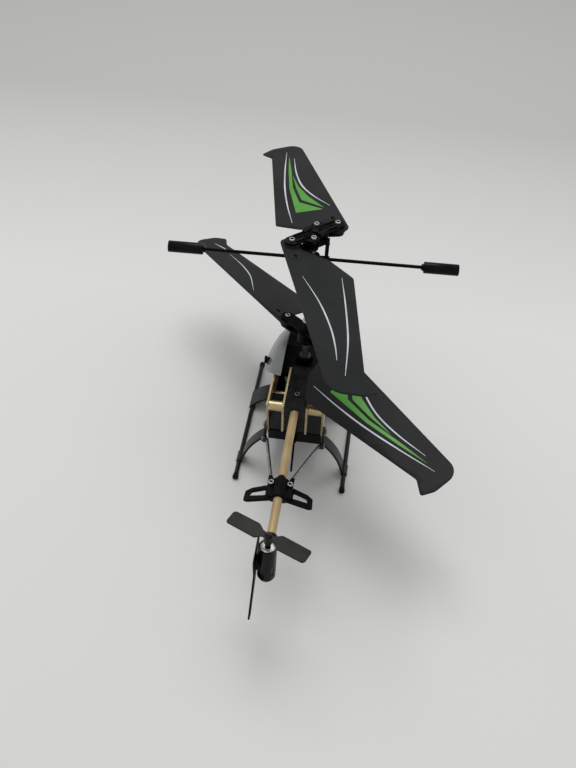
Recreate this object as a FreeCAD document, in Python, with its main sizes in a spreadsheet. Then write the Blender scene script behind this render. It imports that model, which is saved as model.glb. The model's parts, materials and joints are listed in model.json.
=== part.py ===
"""Coaxial toy helicopter with a metal frame: its construction, piece by piece.

Millimetres and degrees. The nose points to -Y, the tail to +Y, and the landing gear rests on Z = 0.
Every piece is drawn with the rotor mast on the Z axis and is then placed so that the mast stands at
mast_along on Y, which puts the origin under the middle of the whole model. Azimuths count from +X to +Y.
"""
import FreeCAD, Part
import math
import os

import Sketcher

Vector = FreeCAD.Vector
UP = Vector(0, 0, 1)
ACROSS = Vector(1, 0, 0)
ALONG = Vector(0, 1, 0)

# The driving dimensions: every one becomes a named cell of the sheet.
DIMENSIONS = {
    "mast_along": -27.95,
    # landing gear
    "skid_half_track": 33.0,
    "skid_axis_height": 1.7,
    "skid_radius": 1.35,
    "skid_front": -54.3,
    "skid_rear": 58.3,
    "skid_cap_radius": 1.85,
    "skid_cap_length": 4.4,
    "skid_cap_end": 0.7,
    "leg_thick": 1.4,
    "leg_saddle_radius": 1.95,
    "leg_saddle_bottom": 1.0,
    "front_leg_middle": -15.0,
    "front_leg_width": 15.0,
    "front_arc_centre_across": 17.0,
    "front_arc_centre_height": -8.7,
    "front_arc_radius": 20.7,
    "front_pad_inner": 8.5,
    "front_pad_outer": 15.0,
    "front_pad_half": 4.0,
    "front_leg_screw_across": 11.7,
    "rear_leg_middle": 40.0,
    "rear_leg_width": 8.4,
    "rear_arc_centre_across": -5.9,
    "rear_arc_centre_height": -4.4,
    "rear_arc_radius": 38.8,
    "leg_tab_top": 32.5,
    "leg_tab_bottom": 24.5,
    "leg_screw_height": 30.4,
    # side frames
    "plate_thick": 1.2,
    "outer_plate_face": 17.05,
    "inner_plate_face": 7.6,
    "outer_plate_top": 57.7,
    "inner_plate_top": 58.9,
    "outer_rear_top": 50.5,
    "outer_rear_bottom": 39.6,
    "inner_rear_top": 52.6,
    "inner_rear_bottom": 47.0,
    "outer_plate_bottom": 27.5,
    "outer_step_rear": 28.5,
    "outer_step_front": 25.0,
    "outer_front_top": 53.5,
    "outer_front": -24.0,
    "outer_front_corner": 44.0,
    "outer_shoulder": -11.0,
    "outer_front_bottom": 34.0,
    "inner_plate_front": 14.5,
    "inner_plate_bottom": 38.8,
    "inner_ear_front": 44.0,
    "inner_ear_bottom": 34.0,
    "plate_window_radius": 2.6,
    "spacer_radius": 3.0,
    "spacer_along": 47.2,
    "spacer_height": 54.6,
    "low_spacer_along": 20.0,
    "low_spacer_height": 40.5,
    "screw_head_radius": 1.6,
    "screw_head_high": 1.0,
    "screw_shank_radius": 0.85,
    # lower housing and the cases between the plates
    "housing_half": 16.6,
    "housing_bottom": 14.8,
    "housing_step": 27.3,
    "housing_top": 33.0,
    "housing_front": -24.0,
    "housing_rear_bottom": 33.5,
    "housing_rear_top": 38.4,
    "housing_upper_rear": 30.0,
    "housing_wall": 1.4,
    "tray_front": -47.0,
    "tray_half": 11.0,
    "tray_bottom": 19.3,
    "tray_top": 26.0,
    "tray_wall": 1.2,
    "battery_half": 9.6,
    "battery_front": -45.5,
    "battery_rear": -20.5,
    "battery_high": 9.5,
    "case_front": 30.3,
    "case_bottom": 27.5,
    "case_top": 50.0,
    "case_rear_bottom": 38.1,
    "case_rear_top": 46.2,
    "case_gap": 0.1,
    "case_wall": 1.2,
    "board_thick": 1.0,
    "board_front": 31.8,
    "board_rear": 36.6,
    "board_bottom": 30.5,
    "board_top": 47.5,
    "cover_front": 15.0,
    "cover_bottom": 57.4,
    "holder_front": 34.0,
    "holder_rear": 52.5,
    "holder_bottom": 50.4,
    "holder_top": 60.2,
    "holder_screw_along": 41.5,
    "switch_along": 12.0,
    "switch_height": 21.5,
    "switch_slot_length": 6.0,
    "switch_slot_high": 2.6,
    "switch_knob_length": 2.6,
    "switch_knob_out": 1.1,
    "switch_flange_length": 7.6,
    "switch_flange_high": 4.4,
    # decks, motors, gears and shafts
    "deck_half": 15.8,
    "lower_deck_top": 36.0,
    "lower_deck_reach": 20.0,
    "upper_deck_bottom": 49.5,
    "upper_deck_top": 53.5,
    "upper_deck_reach": 13.8,
    "deck_boss_radius": 5.0,
    "deck_boss_top": 58.0,
    "bearing_high": 2.4,
    "inner_bearing_radius": 2.5,
    "outer_bearing_radius": 3.5,
    "running_fit": 0.05,
    "inner_shaft_radius": 1.0,
    "inner_shaft_bottom": 32.0,
    "inner_shaft_top": 147.4,
    "outer_shaft_radius": 2.0,
    "outer_shaft_bottom": 43.5,
    "outer_shaft_top": 85.5,
    "tooth_module": 0.4,
    "gear_teeth": 56,
    "pinion_teeth": 9,
    "gear_thick": 2.5,
    "gear_hub_radius": 3.6,
    "gear_hub_high": 1.2,
    "lower_gear_bottom": 38.0,
    "upper_gear_bottom": 45.5,
    "gear_window_radius": 2.4,
    "gear_window_circle": 6.9,
    "motor_radius": 5.0,
    "motor_length": 15.5,
    "motor_shaft_radius": 0.75,
    "pinion_high": 3.5,
    # lower rotor head
    "lower_hinge_height": 74.5,
    "lower_hinge_radius": 17.5,
    "lower_hub_azimuth": 140.5,
    "lower_hub_radius": 5.6,
    "lower_hub_bottom": 69.4,
    "collar_radius": 3.4,
    "collar_top": 84.8,
    # upper rotor head
    "upper_hinge_height": 143.6,
    "upper_hinge_radius": 16.7,
    "upper_hub_azimuth": 45.3,
    "upper_hub_half_length": 5.2,
    "upper_hub_half_width": 4.0,
    "upper_hub_bottom": 138.4,
    "head_screw_radius": 7.5,
    "head_screw_azimuth": 90.0,
    "arm_end_radius": 4.0,
    "arm_inner_radius": 3.0,
    "fork_gap": 1.85,
    "fork_thick": 1.5,
    "tilt_slot_half": 2.1,
    "pivot_pin_radius": 0.5,
    "pivot_pin_half": 5.0,
    "bolt_head_radius": 1.6,
    "bolt_head_high": 1.2,
    "bolt_radius": 0.9,
    # blades, in the frame of one blade: X runs out along it and Y towards its trailing edge
    "blade_thick": 1.0,
    "blade_front": -6.2,
    "blade_tip": 118.5,
    "blade_droop": 8.6,
    "blade_camber": 1.3,
    "blade_pad_radius": 4.6,
    "blade_pad_half": 1.7,
    "blade_relief_radius": 7.4,
    "blade_slot_out": 11.8,
    "blade_slot_length": 2.6,
    "blade_slot_radius": 0.7,
    "upper_pitch_root": 13.5,
    "upper_pitch_tip": 12.0,
    "lower_pitch_root": 17.0,
    "lower_pitch_tip": 12.0,
    "upper_blade_a_azimuth": -69.6,
    "upper_blade_b_azimuth": 109.2,
    "lower_blade_a_azimuth": -51.6,
    "lower_blade_b_azimuth": 130.7,
    # flybar
    "flybar_height": 129.1,
    "flybar_azimuth": 3.4,
    "flybar_half": 83.9,
    "flybar_rod_radius": 1.0,
    "weight_radius": 3.35,
    "weight_start": 62.3,
    "yoke_radius": 3.7,
    "yoke_half_high": 2.5,
    "yoke_arm_radius": 1.9,
    "yoke_arm_end": 9.4,
    "link_out": 7.5,
    "link_aside": 2.7,
    "link_pin_radius": 0.5,
    "link_top_height": 141.6,
    "link_half_width": 1.1,
    "link_thick": 1.0,
    "link_top_play": 0.25,
    # tail
    "boom_radius": 2.4,
    "boom_height": 55.2,
    "boom_front": 35.5,
    "boom_rear": 155.0,
    "clamp_front": 106.8,
    "clamp_shoulder": 110.9,
    "clamp_rear": 122.0,
    "clamp_half": 6.9,
    "clamp_nose_half": 2.8,
    "clamp_bottom": 52.8,
    "clamp_top": 56.4,
    "clamp_hump_half": 3.15,
    "clamp_hump_nose": 3.2,
    "clamp_hump_tip": 0.9,
    "clamp_hump_chamfer": 1.0,
    "clamp_hump_top": 58.8,
    "clamp_screw_across": 5.15,
    "clamp_screw_along": 112.0,
    "stabiliser_thick": 1.6,
    "stabiliser_bar": 2.2,
    "stabiliser_tip": 18.6,
    "stabiliser_front": 113.6,
    "stabiliser_rear": 122.6,
    "strut_radius": 1.0,
    "strut_eye_radius": 1.9,
    "strut_eye_thick": 0.8,
    "strut_low_across": 16.0,
    "strut_low_along": 45.9,
    "strut_low_height": 25.4,
    "strut_knee_across": 6.1,
    "strut_knee_along": 106.9,
    "pod_along": 160.0,
    "pod_radius": 4.75,
    "pod_bore": 4.05,
    "pod_bottom": 37.2,
    "pod_top": 61.4,
    "pod_floor": 41.2,
    "pod_socket_radius": 3.5,
    "pod_socket_front": 148.0,
    "pod_slot_bottom": 43.3,
    "pod_slot_top": 52.7,
    "pod_slot_half": 1.1,
    "tail_motor_radius": 4.0,
    "tail_motor_top": 61.2,
    "tail_shaft_radius": 0.5,
    "tail_hub_radius": 1.95,
    "tail_hub_bottom": 63.2,
    "tail_hub_top": 71.2,
    "tail_blade_height": 68.2,
    "tail_blade_tip": 23.4,
    "tail_blade_half_width": 4.45,
    "tail_blade_thick": 0.9,
    "tail_blade_pitch": 18.3,
    "tail_rotor_azimuth": -25.8,
    "fin_face": 5.4,
    "fin_thick": 0.9,
    # canopy
    "canopy_nose": -64.0,
    "canopy_front": -62.0,
    "canopy_rear": 23.5,
    "canopy_half": 25.5,
    "canopy_half_high": 26.3,
    "canopy_mid_height": 38.4,
    "canopy_nose_drop": 10.5,
    "canopy_wall": 0.8,
    "canopy_slot_half": 12.2,
    "canopy_slot_front": -27.0,
    "canopy_edge_height": 43.4,
    "canopy_edge_slope": 0.62,
    "canopy_post_height": 50.2,
    "canopy_post_radius": 1.0,
    "canopy_post_end": 24.4,
    "grommet_radius": 2.5,
    "grommet_neck_radius": 1.8,
    "grommet_out": 23.8,
    "grommet_end": 25.2,
    "grommet_in": 21.5,
    # antenna
    "antenna_radius": 0.65,
    "antenna_length": 38.0,
    "antenna_rise": 9.6,
    "antenna_across": 0.2,
    "antenna_drift": -2.4,
    "antenna_height": 19.0,
}


class Size:
    """A dimension kept both as a number and as the sheet formula that gives it."""

    def __init__(self, number, text):
        self.number = float(number)
        self.text = text

    @staticmethod
    def of(thing):
        """Return thing as a Size, whether it is one already or a plain number."""
        return thing if isinstance(thing, Size) else Size(thing, repr(float(thing)))

    def __add__(self, other):
        other = Size.of(other)
        return Size(self.number + other.number, f"({self.text} + {other.text})")

    def __sub__(self, other):
        other = Size.of(other)
        return Size(self.number - other.number, f"({self.text} - {other.text})")

    def __mul__(self, other):
        other = Size.of(other)
        return Size(self.number * other.number, f"({self.text} * {other.text})")

    def __truediv__(self, other):
        other = Size.of(other)
        return Size(self.number / other.number, f"({self.text} / {other.text})")

    def __neg__(self):
        return Size(-self.number, f"(0 - {self.text})")

    def cosine(self):
        """The cosine of this angle."""
        return Size(math.cos(math.radians(self.number)), f"cos({self.text} * 1deg)")

    def sine(self):
        """The sine of this angle."""
        return Size(math.sin(math.radians(self.number)), f"sin({self.text} * 1deg)")


class Dimensions:
    """The named sizes: each attribute is one cell of the sheet."""

    def __init__(self, document, numbers):
        sheet = document.addObject("Spreadsheet::Sheet", "Sheet")
        for row, (name, number) in enumerate(numbers.items(), start=1):
            sheet.set(f"A{row}", name)
            sheet.set(f"B{row}", str(number))
            sheet.setAlias(f"B{row}", name)
        document.recompute()
        for name in numbers:
            setattr(self, name, Size(getattr(sheet, name), f"Sheet.{name}"))


DOC = FreeCAD.newDocument("Helicopter")
d = Dimensions(DOC, DIMENSIONS)
NODES = []
BASES = {}


# ---------------------------------------------------------------- helpers

def node(shape, label):
    """Label a finished sub-part, place it with the mast where it belongs, and list it for writing."""
    across, along, upward = BASES.get(shape.Name, (0, 0, 0))
    move_to(shape, (across, Size.of(along) + d.mast_along, upward))
    shape.Label = label
    NODES.append(shape)


def bind(thing, path, size):
    """Bind one property to the sheet, or set it where it is a plain number."""
    size = Size.of(size)
    thing.setExpression(path, size.text)


def move_to(thing, base):
    """Bind a placement's base point, and remember it."""
    BASES[thing.Name] = tuple(base)
    for letter, size in zip("xyz", base):
        bind(thing, f"Placement.Base.{letter}", size)


def turn_about_mast(thing, azimuth):
    """Bind a placement's turn about the Z axis."""
    bind(thing, "Placement.Rotation.Angle", azimuth)
    return thing


def cylinder(name, radius, high, base, axis=UP):
    """A cylinder that starts at base and runs along axis."""
    shape = DOC.addObject("Part::Cylinder", name)
    shape.Placement = FreeCAD.Placement(Vector(), FreeCAD.Rotation(UP, axis))
    bind(shape, "Radius", radius)
    bind(shape, "Height", high)
    move_to(shape, base)
    return shape


def tube(name, outer, inner, high, base, axis=UP):
    """A cylinder with a bore right through it."""
    body = cylinder(name + "_wall", outer, high, base, axis)
    bore = cylinder(name + "_bore", inner, high, base, axis)
    return cut(name, body, bore)


def box(name, low, high):
    """A box between two corners."""
    shape = DOC.addObject("Part::Box", name)
    for side, start, end in zip(("Length", "Width", "Height"), low, high):
        bind(shape, side, Size.of(end) - start)
    move_to(shape, low)
    return shape


def cut(name, base, *tools):
    """base without the tools."""
    shape = DOC.addObject("Part::Cut", name)
    shape.Base = base
    shape.Tool = tools[0] if len(tools) == 1 else fuse(name + "_tools", *tools)
    return shape


def fuse(name, *shapes):
    """One solid from overlapping or touching ones."""
    whole = DOC.addObject("Part::MultiFuse", name)
    whole.Shapes = list(shapes)
    whole.Refine = True
    return whole


def common(name, first, second):
    """What two shapes share."""
    shape = DOC.addObject("Part::Common", name)
    shape.Base = first
    shape.Tool = second
    return shape


def group(name, shapes):
    """Separate solids kept in one node."""
    whole = DOC.addObject("Part::Compound", name)
    whole.Links = shapes
    return whole


def feature(name, shape, base=None, azimuth=0.0):
    """A sub-part whose shape comes from Part's own functions."""
    thing = DOC.addObject("Part::Feature", name)
    thing.Shape = shape
    thing.Placement = FreeCAD.Placement(base or Vector(), FreeCAD.Rotation(UP, azimuth))
    BASES[thing.Name] = tuple(thing.Placement.Base)
    return thing


def new_body(label):
    """An empty PartDesign body."""
    return DOC.addObject("PartDesign::Body", label)


def sketch_on(body, role, offset):
    """A sketch on one of the body's own origin planes, lifted off it by offset."""
    sketch = body.newObject("Sketcher::SketchObject", body.Name + "_sketch")
    plane = next(item for item in body.Origin.OriginFeatures if item.Role == role)
    sketch.AttachmentSupport = [(plane, "")]
    sketch.MapMode = "FlatFace"
    bind(sketch, "AttachmentOffset.Base.z", offset)
    return sketch


def draw_polygon(sketch, corners):
    """A closed outline whose every corner is held by two dimensions."""
    corners = [(Size.of(across), Size.of(upward)) for across, upward in corners]
    points = [Vector(across.number, upward.number, 0) for across, upward in corners]
    first = sketch.GeometryCount
    count = len(points)
    for index in range(count):
        line = Part.LineSegment(points[index], points[(index + 1) % count])
        sketch.addGeometry(line, False)
    for index in range(count):
        after = first + (index + 1) % count
        sketch.addConstraint(Sketcher.Constraint("Coincident", first + index, 2, after, 1))
    for index, (across, upward) in enumerate(corners):
        hold(sketch, "DistanceX", first + index, across)
        hold(sketch, "DistanceY", first + index, upward)


def hold(sketch, kind, line, size):
    """Fix a line's start point at a distance from the sketch's origin."""
    if size.number == 0.0:
        axis = -2 if kind == "DistanceX" else -1
        sketch.addConstraint(Sketcher.Constraint("PointOnObject", line, 1, axis))
        return
    given = Sketcher.Constraint(kind, -1, 1, line, 1, size.number)
    index = sketch.addConstraint(given)
    bind(sketch, f"Constraints[{index}]", size)


def draw_circle(sketch, across, upward, radius):
    """A circle held by its centre and radius."""
    across, upward, radius = Size.of(across), Size.of(upward), Size.of(radius)
    centre = Vector(across.number, upward.number, 0)
    index = sketch.addGeometry(Part.Circle(centre, UP, radius.number), False)
    for kind, size in (("DistanceX", across), ("DistanceY", upward)):
        place = sketch.addConstraint(Sketcher.Constraint(kind, -1, 1, index, 3, size.number))
        bind(sketch, f"Constraints[{place}]", size)
    place = sketch.addConstraint(Sketcher.Constraint("Radius", index, radius.number))
    bind(sketch, f"Constraints[{place}]", radius)


def padded(label, role, corners, offset, thick, holes=(), rounds=None):
    """A body padded from an outline, with round holes and, if asked, rounded upright edges."""
    body = new_body(label)
    sketch = sketch_on(body, role, offset)
    draw_polygon(sketch, corners)
    for across, upward, radius in holes:
        draw_circle(sketch, across, upward, radius)
    DOC.recompute()
    pad = body.newObject("PartDesign::Pad", label + "_pad")
    pad.Profile = sketch
    bind(pad, "Length", thick)
    DOC.recompute()
    if rounds is not None:
        round_upright_edges(body, pad, role, corners, rounds)
    return body


def round_upright_edges(body, pad, role, corners, radius):
    """Round the edges that stand on the outline's corners."""
    wanted = []
    points = [(Size.of(across).number, Size.of(upward).number) for across, upward in corners]
    for index, edge in enumerate(pad.Shape.Edges, start=1):
        if not isinstance(edge.Curve, (Part.Line, Part.LineSegment)):
            continue
        ends = [plane_point(vertex.Point, role) for vertex in edge.Vertexes]
        upright = math.dist(ends[0], ends[1]) < 0.001
        if upright and min(math.dist(ends[0], point) for point in points) < 0.01:
            wanted.append(f"Edge{index}")
    fillet = body.newObject("PartDesign::Fillet", body.Name + "_rounds")
    fillet.Base = (pad, wanted)
    bind(fillet, "Radius", radius)
    DOC.recompute()


def plane_point(point, role):
    """A point's two coordinates in the plane of a sketch."""
    if role == "YZ_Plane":
        return (point.y, point.z)
    return (point.x, point.y)


def turned(label, profile, base=(0, 0, 0)):
    """A body turned about its own upright axis from a half profile of (radius, height) points."""
    body = new_body(label)
    sketch = sketch_on(body, "XZ_Plane", 0)
    draw_polygon(sketch, profile)
    DOC.recompute()
    revolution = body.newObject("PartDesign::Revolution", label + "_turn")
    revolution.Profile = sketch
    revolution.ReferenceAxis = (sketch, ["V_Axis"])
    revolution.Angle = 360
    move_to(body, base)
    DOC.recompute()
    return body


def stadium(name, first, second, radii, bottom, thick):
    """A flat arm between two points, with a round end at each, whose sides are tangent to both."""
    ends = [Vector(*[Size.of(part).number for part in point]) for point in (first, second)]
    reach = (ends[1] - ends[0]).Length
    heading = math.atan2(ends[1].y - ends[0].y, ends[1].x - ends[0].x)
    near, far = (Size.of(radius).number for radius in radii)
    lean = math.acos((near - far) / reach)
    rims = []
    for end, radius in zip(ends, (near, far)):
        for side in (1, -1):
            angle = heading + side * lean
            rims.append(end + Vector(radius * math.cos(angle), radius * math.sin(angle)))
    flat = Part.makePolygon([rims[0], rims[2], rims[3], rims[1], rims[0]])
    web = Part.Face(flat).extrude(Vector(0, 0, Size.of(thick).number))
    middle = feature(name + "_web", web, Vector(0, 0, Size.of(bottom).number))
    discs = [
        cylinder(f"{name}_end_{index}", radius, thick, (*point, bottom))
        for index, (point, radius) in enumerate(zip((first, second), radii))
    ]
    return fuse(name, middle, *discs)


def on_circle(radius, azimuth):
    """The plan position at a radius and an azimuth."""
    azimuth = Size.of(azimuth)
    return (Size.of(radius) * azimuth.cosine(), Size.of(radius) * azimuth.sine())


def screw(name, head_base, axis, length):
    """A small pan-head screw: the head stands on head_base and the shank runs against axis."""
    head = cylinder(name + "_head", d.screw_head_radius, d.screw_head_high, head_base, axis)
    back = [Size.of(part) - length * step for part, step in zip(head_base, axis)]
    shank = cylinder(name + "_shank", d.screw_shank_radius, length, back, axis)
    return fuse(name, head, shank)


# ---------------------------------------------------------------- landing gear

def build_skids():
    """Two straight tubes with a flat-bottomed rubber cap on each end."""
    caps = []
    for side, sign in (("left", 1), ("right", -1)):
        across = d.skid_half_track * sign
        length = d.skid_rear - d.skid_front
        start = (across, d.skid_front, d.skid_axis_height)
        node(cylinder(side + "_skid_tube", d.skid_radius, length, start, ALONG), side + "_skid")
        caps.append(skid_cap(side + "_front_cap", across, d.skid_front - d.skid_cap_end, d.skid_front))
        last = d.skid_rear + d.skid_cap_end
        caps.append(skid_cap(side + "_rear_cap", across, last - d.skid_cap_length, d.skid_rear, -1))
    node(group("caps", caps), "skid_caps")


def skid_cap(name, across, start, tube_end, heading=1):
    """A rubber cap over a tube end, cut flat underneath where it rests."""
    shell = cylinder(name + "_shell", d.skid_cap_radius, d.skid_cap_length,
                     (across, start, d.skid_axis_height), ALONG)
    low = (across - d.skid_cap_radius, start, 0)
    high = (across + d.skid_cap_radius, start + d.skid_cap_length, d.skid_axis_height + d.skid_cap_radius)
    resting = common(name + "_resting", shell, box(name + "_limits", low, high))
    hollow_start = tube_end if heading > 0 else tube_end - d.skid_cap_length
    hollow = cylinder(name + "_hollow", d.skid_radius, d.skid_cap_length,
                      (across, hollow_start, d.skid_axis_height), ALONG)
    return cut(name, resting, hollow)


def leg_arch(name, front, width, centre_across, centre_height, radius, start, top):
    """The curved strap of a leg, from start across the body down to the height of the skid."""
    centre = (centre_across, front, centre_height)
    outer = cylinder(name + "_outer", radius, width, centre, ALONG)
    inner = cylinder(name + "_inner", radius - d.leg_thick, width, centre, ALONG)
    ring = cut(name + "_ring", outer, inner)
    quarter = box(name + "_quarter", (start, front, d.skid_axis_height),
                  (centre_across + radius + 1, front + width, top))
    return common(name + "_arch", ring, quarter)


def leg_saddle(name, front, width):
    """The sleeve at the foot of a leg that grips the skid."""
    radius = d.leg_saddle_radius
    sleeve = cylinder(name + "_sleeve", radius, width, (d.skid_half_track, front, d.skid_axis_height), ALONG)
    upper = box(name + "_upper", (d.skid_half_track - radius, front, d.leg_saddle_bottom),
                (d.skid_half_track + radius, front + width, d.skid_axis_height + radius))
    return common(name + "_saddle", sleeve, upper)


def skid_way(name, front, width):
    """The room for the skid through a leg's foot."""
    start = (d.skid_half_track, front, d.skid_axis_height)
    return cylinder(name + "_skid_way", d.skid_radius, width, start, ALONG)


def rear_leg(name):
    """An arched strap from the side frame down to the skid."""
    front = d.rear_leg_middle - d.rear_leg_width / 2
    width = d.rear_leg_width
    arch = leg_arch(name, front, width, d.rear_arc_centre_across, d.rear_arc_centre_height, d.rear_arc_radius,
                    d.outer_plate_face, d.leg_tab_top)
    tab = box(name + "_tab", (d.outer_plate_face, front, d.leg_tab_bottom),
              (d.outer_plate_face + d.leg_thick, front + width, d.leg_tab_top))
    whole = fuse(name + "_whole", arch, tab, leg_saddle(name, front, width), strut_lug(name))
    places = ((rear_leg_screw_along(), d.leg_screw_height), (d.strut_low_along, d.strut_low_height))
    ways = [cylinder(f"{name}_screw_way_{index}", d.screw_shank_radius, d.leg_thick,
                     (d.outer_plate_face, *place), ACROSS) for index, place in enumerate(places)]
    return cut(name + "_strap", whole, skid_way(name, front, width), *ways)


def front_strap_top():
    """The height of the flat part of a front leg."""
    return d.front_arc_centre_height + d.front_arc_radius


def front_leg(name):
    """A low broad strap from a pad under the housing out to the skid."""
    front = d.front_leg_middle - d.front_leg_width / 2
    width = d.front_leg_width
    top = front_strap_top()
    bottom = top - d.leg_thick
    arch = leg_arch(name, front, width, d.front_arc_centre_across, d.front_arc_centre_height,
                    d.front_arc_radius, d.front_arc_centre_across, top)
    flat = box(name + "_flat", (d.front_pad_inner, front, bottom),
               (d.front_arc_centre_across, front + width, top))
    pad = box(name + "_pad", (d.front_pad_inner, d.front_leg_middle - d.front_pad_half, bottom),
              (d.front_pad_outer, d.front_leg_middle + d.front_pad_half, d.housing_bottom))
    whole = fuse(name + "_whole", arch, flat, pad, leg_saddle(name, front, width))
    way = cylinder(name + "_screw_way", d.screw_shank_radius, d.housing_bottom - bottom,
                   (d.front_leg_screw_across, d.front_leg_middle, bottom), UP)
    return cut(name + "_strap", whole, skid_way(name, front, width), way)


def rear_leg_screw_along():
    """Where along the body the screw of a rear leg sits, in front of the leg's middle."""
    return d.rear_leg_middle - d.rear_leg_width / 4


def strut_lug(name):
    """The ear behind a rear leg that the tail strut is fastened to."""
    inner = Size.of(d.outer_plate_face)
    disc = cylinder(name + "_lug", d.strut_eye_radius, d.leg_thick,
                    (inner, d.strut_low_along, d.strut_low_height), ACROSS)
    web = box(name + "_web", (inner, d.rear_leg_middle, d.strut_low_height - d.strut_eye_radius),
              (inner + d.leg_thick, d.strut_low_along, d.strut_low_height + d.strut_eye_radius))
    return fuse(name + "_strut_lug", disc, web)


def build_legs():
    """Two front and two rear legs, each right one the mirror image of a left one."""
    for place, build_leg in (("front", front_leg), ("rear", rear_leg)):
        node(build_leg(place + "_left"), place + "_leg_left")
        mirror = DOC.addObject("Part::Mirroring", place + "_mirror")
        mirror.Source = build_leg(place + "_right")
        mirror.Normal = ACROSS
        node(mirror, place + "_leg_right")


# ---------------------------------------------------------------- frame

def build_plates():
    """Four anodised side plates: an outer and an inner one on each side."""
    outer_outline = (
        (d.outer_rear_bottom, d.outer_plate_bottom),
        (d.outer_rear_top, d.outer_plate_top),
        (d.outer_step_rear, d.outer_plate_top),
        (d.outer_step_front, d.outer_front_top),
        (d.outer_shoulder, d.outer_front_top),
        (d.outer_front, d.outer_front_corner),
        (d.outer_front, d.outer_front_bottom),
        (d.outer_shoulder, d.outer_plate_bottom),
    )
    inner_outline = (
        (d.inner_rear_bottom, d.inner_ear_bottom),
        (d.inner_rear_top, d.inner_plate_top),
        (d.inner_plate_front, d.inner_plate_top),
        (d.inner_plate_front, d.inner_plate_bottom),
        (d.inner_ear_front, d.inner_plate_bottom),
        (d.inner_ear_front, d.inner_ear_bottom),
    )
    shank = d.screw_shank_radius
    outer_holes = [
        (d.spacer_along, d.spacer_height, shank),
        (d.low_spacer_along, d.low_spacer_height, shank),
        (rear_leg_screw_along(), d.leg_screw_height, shank),
    ]
    inner_holes = [(d.spacer_along, d.spacer_height, shank)]
    inner_holes += [(d.low_spacer_along, d.low_spacer_height, shank)]
    for step in range(3):
        along = d.inner_plate_front + 12 + step * 7
        inner_holes.append((along, d.case_top + 2.5, d.plate_window_radius))
    for step in range(4):
        along = d.outer_shoulder + step * 9
        outer_holes.append((along, d.outer_plate_bottom + 12, d.plate_window_radius))
    for side, sign in (("left", 1), ("right", -1)):
        for kind, face, outline, holes in (
            ("outer", d.outer_plate_face, outer_outline, outer_holes),
            ("inner", d.inner_plate_face, inner_outline, inner_holes),
        ):
            start = face - d.plate_thick if sign > 0 else -face
            label = f"{kind}_frame_{side}"
            node(padded(label, "YZ_Plane", outline, start, d.plate_thick, holes, 1.2), label)


def build_spacers():
    """Gold barrels that hold each inner plate off its outer plate."""
    barrels = []
    length = d.outer_plate_face - d.plate_thick - d.inner_plate_face
    places = ((d.spacer_along, d.spacer_height, d.spacer_radius),
              (d.low_spacer_along, d.low_spacer_height, d.spacer_radius - 1))
    for sign in (1, -1):
        for row, (along, height, radius) in enumerate(places):
            start = d.inner_plate_face if sign > 0 else -d.inner_plate_face - length
            name = f"spacer_{row}_{'left' if sign > 0 else 'right'}"
            barrels.append(tube(name, radius, d.screw_shank_radius, length, (start, along, height), ACROSS))
    node(group("spacer_set", barrels), "frame_spacers")


def build_screws():
    """All the small screws that hold the frame, the legs and the tail clamp."""
    screws = []
    through = d.outer_plate_face - d.inner_plate_face + d.plate_thick
    for sign in (1, -1):
        face = d.outer_plate_face * sign
        leg_face = (d.outer_plate_face + d.leg_thick) * sign
        axis = ACROSS * sign
        side = "left" if sign > 0 else "right"
        for row, (along, height) in enumerate(((d.spacer_along, d.spacer_height),
                                               (d.low_spacer_along, d.low_spacer_height))):
            screws.append(screw(f"frame_screw_{row}_{side}", (face, along, height), axis, through))
        rear_start = (leg_face, rear_leg_screw_along(), d.leg_screw_height)
        screws.append(screw(f"rear_leg_screw_{side}", rear_start, axis, d.leg_thick + d.plate_thick))
        under = front_strap_top() - d.leg_thick
        front_start = (d.front_leg_screw_across * sign, d.front_leg_middle, under)
        screws.append(screw(f"front_leg_screw_{side}", front_start, UP * -1,
                            d.housing_bottom + d.housing_wall - under))
        strut_start = (leg_face, d.strut_low_along, d.strut_low_height)
        screws.append(screw(f"strut_screw_{side}", strut_start, axis, d.leg_thick + d.strut_eye_thick))
        clamp_start = (d.clamp_screw_across * sign, d.clamp_screw_along, d.clamp_top + d.strut_eye_thick)
        length = d.strut_eye_thick + d.clamp_top - d.clamp_bottom + d.stabiliser_thick
        screws.append(screw(f"clamp_screw_{side}", clamp_start, UP, length))
    top = (0, d.holder_screw_along, d.holder_top)
    screws.append(screw("holder_screw", top, UP, d.holder_top - d.boom_height - d.boom_radius - 0.2))
    node(group("screw_set", screws), "frame_screws")


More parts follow.
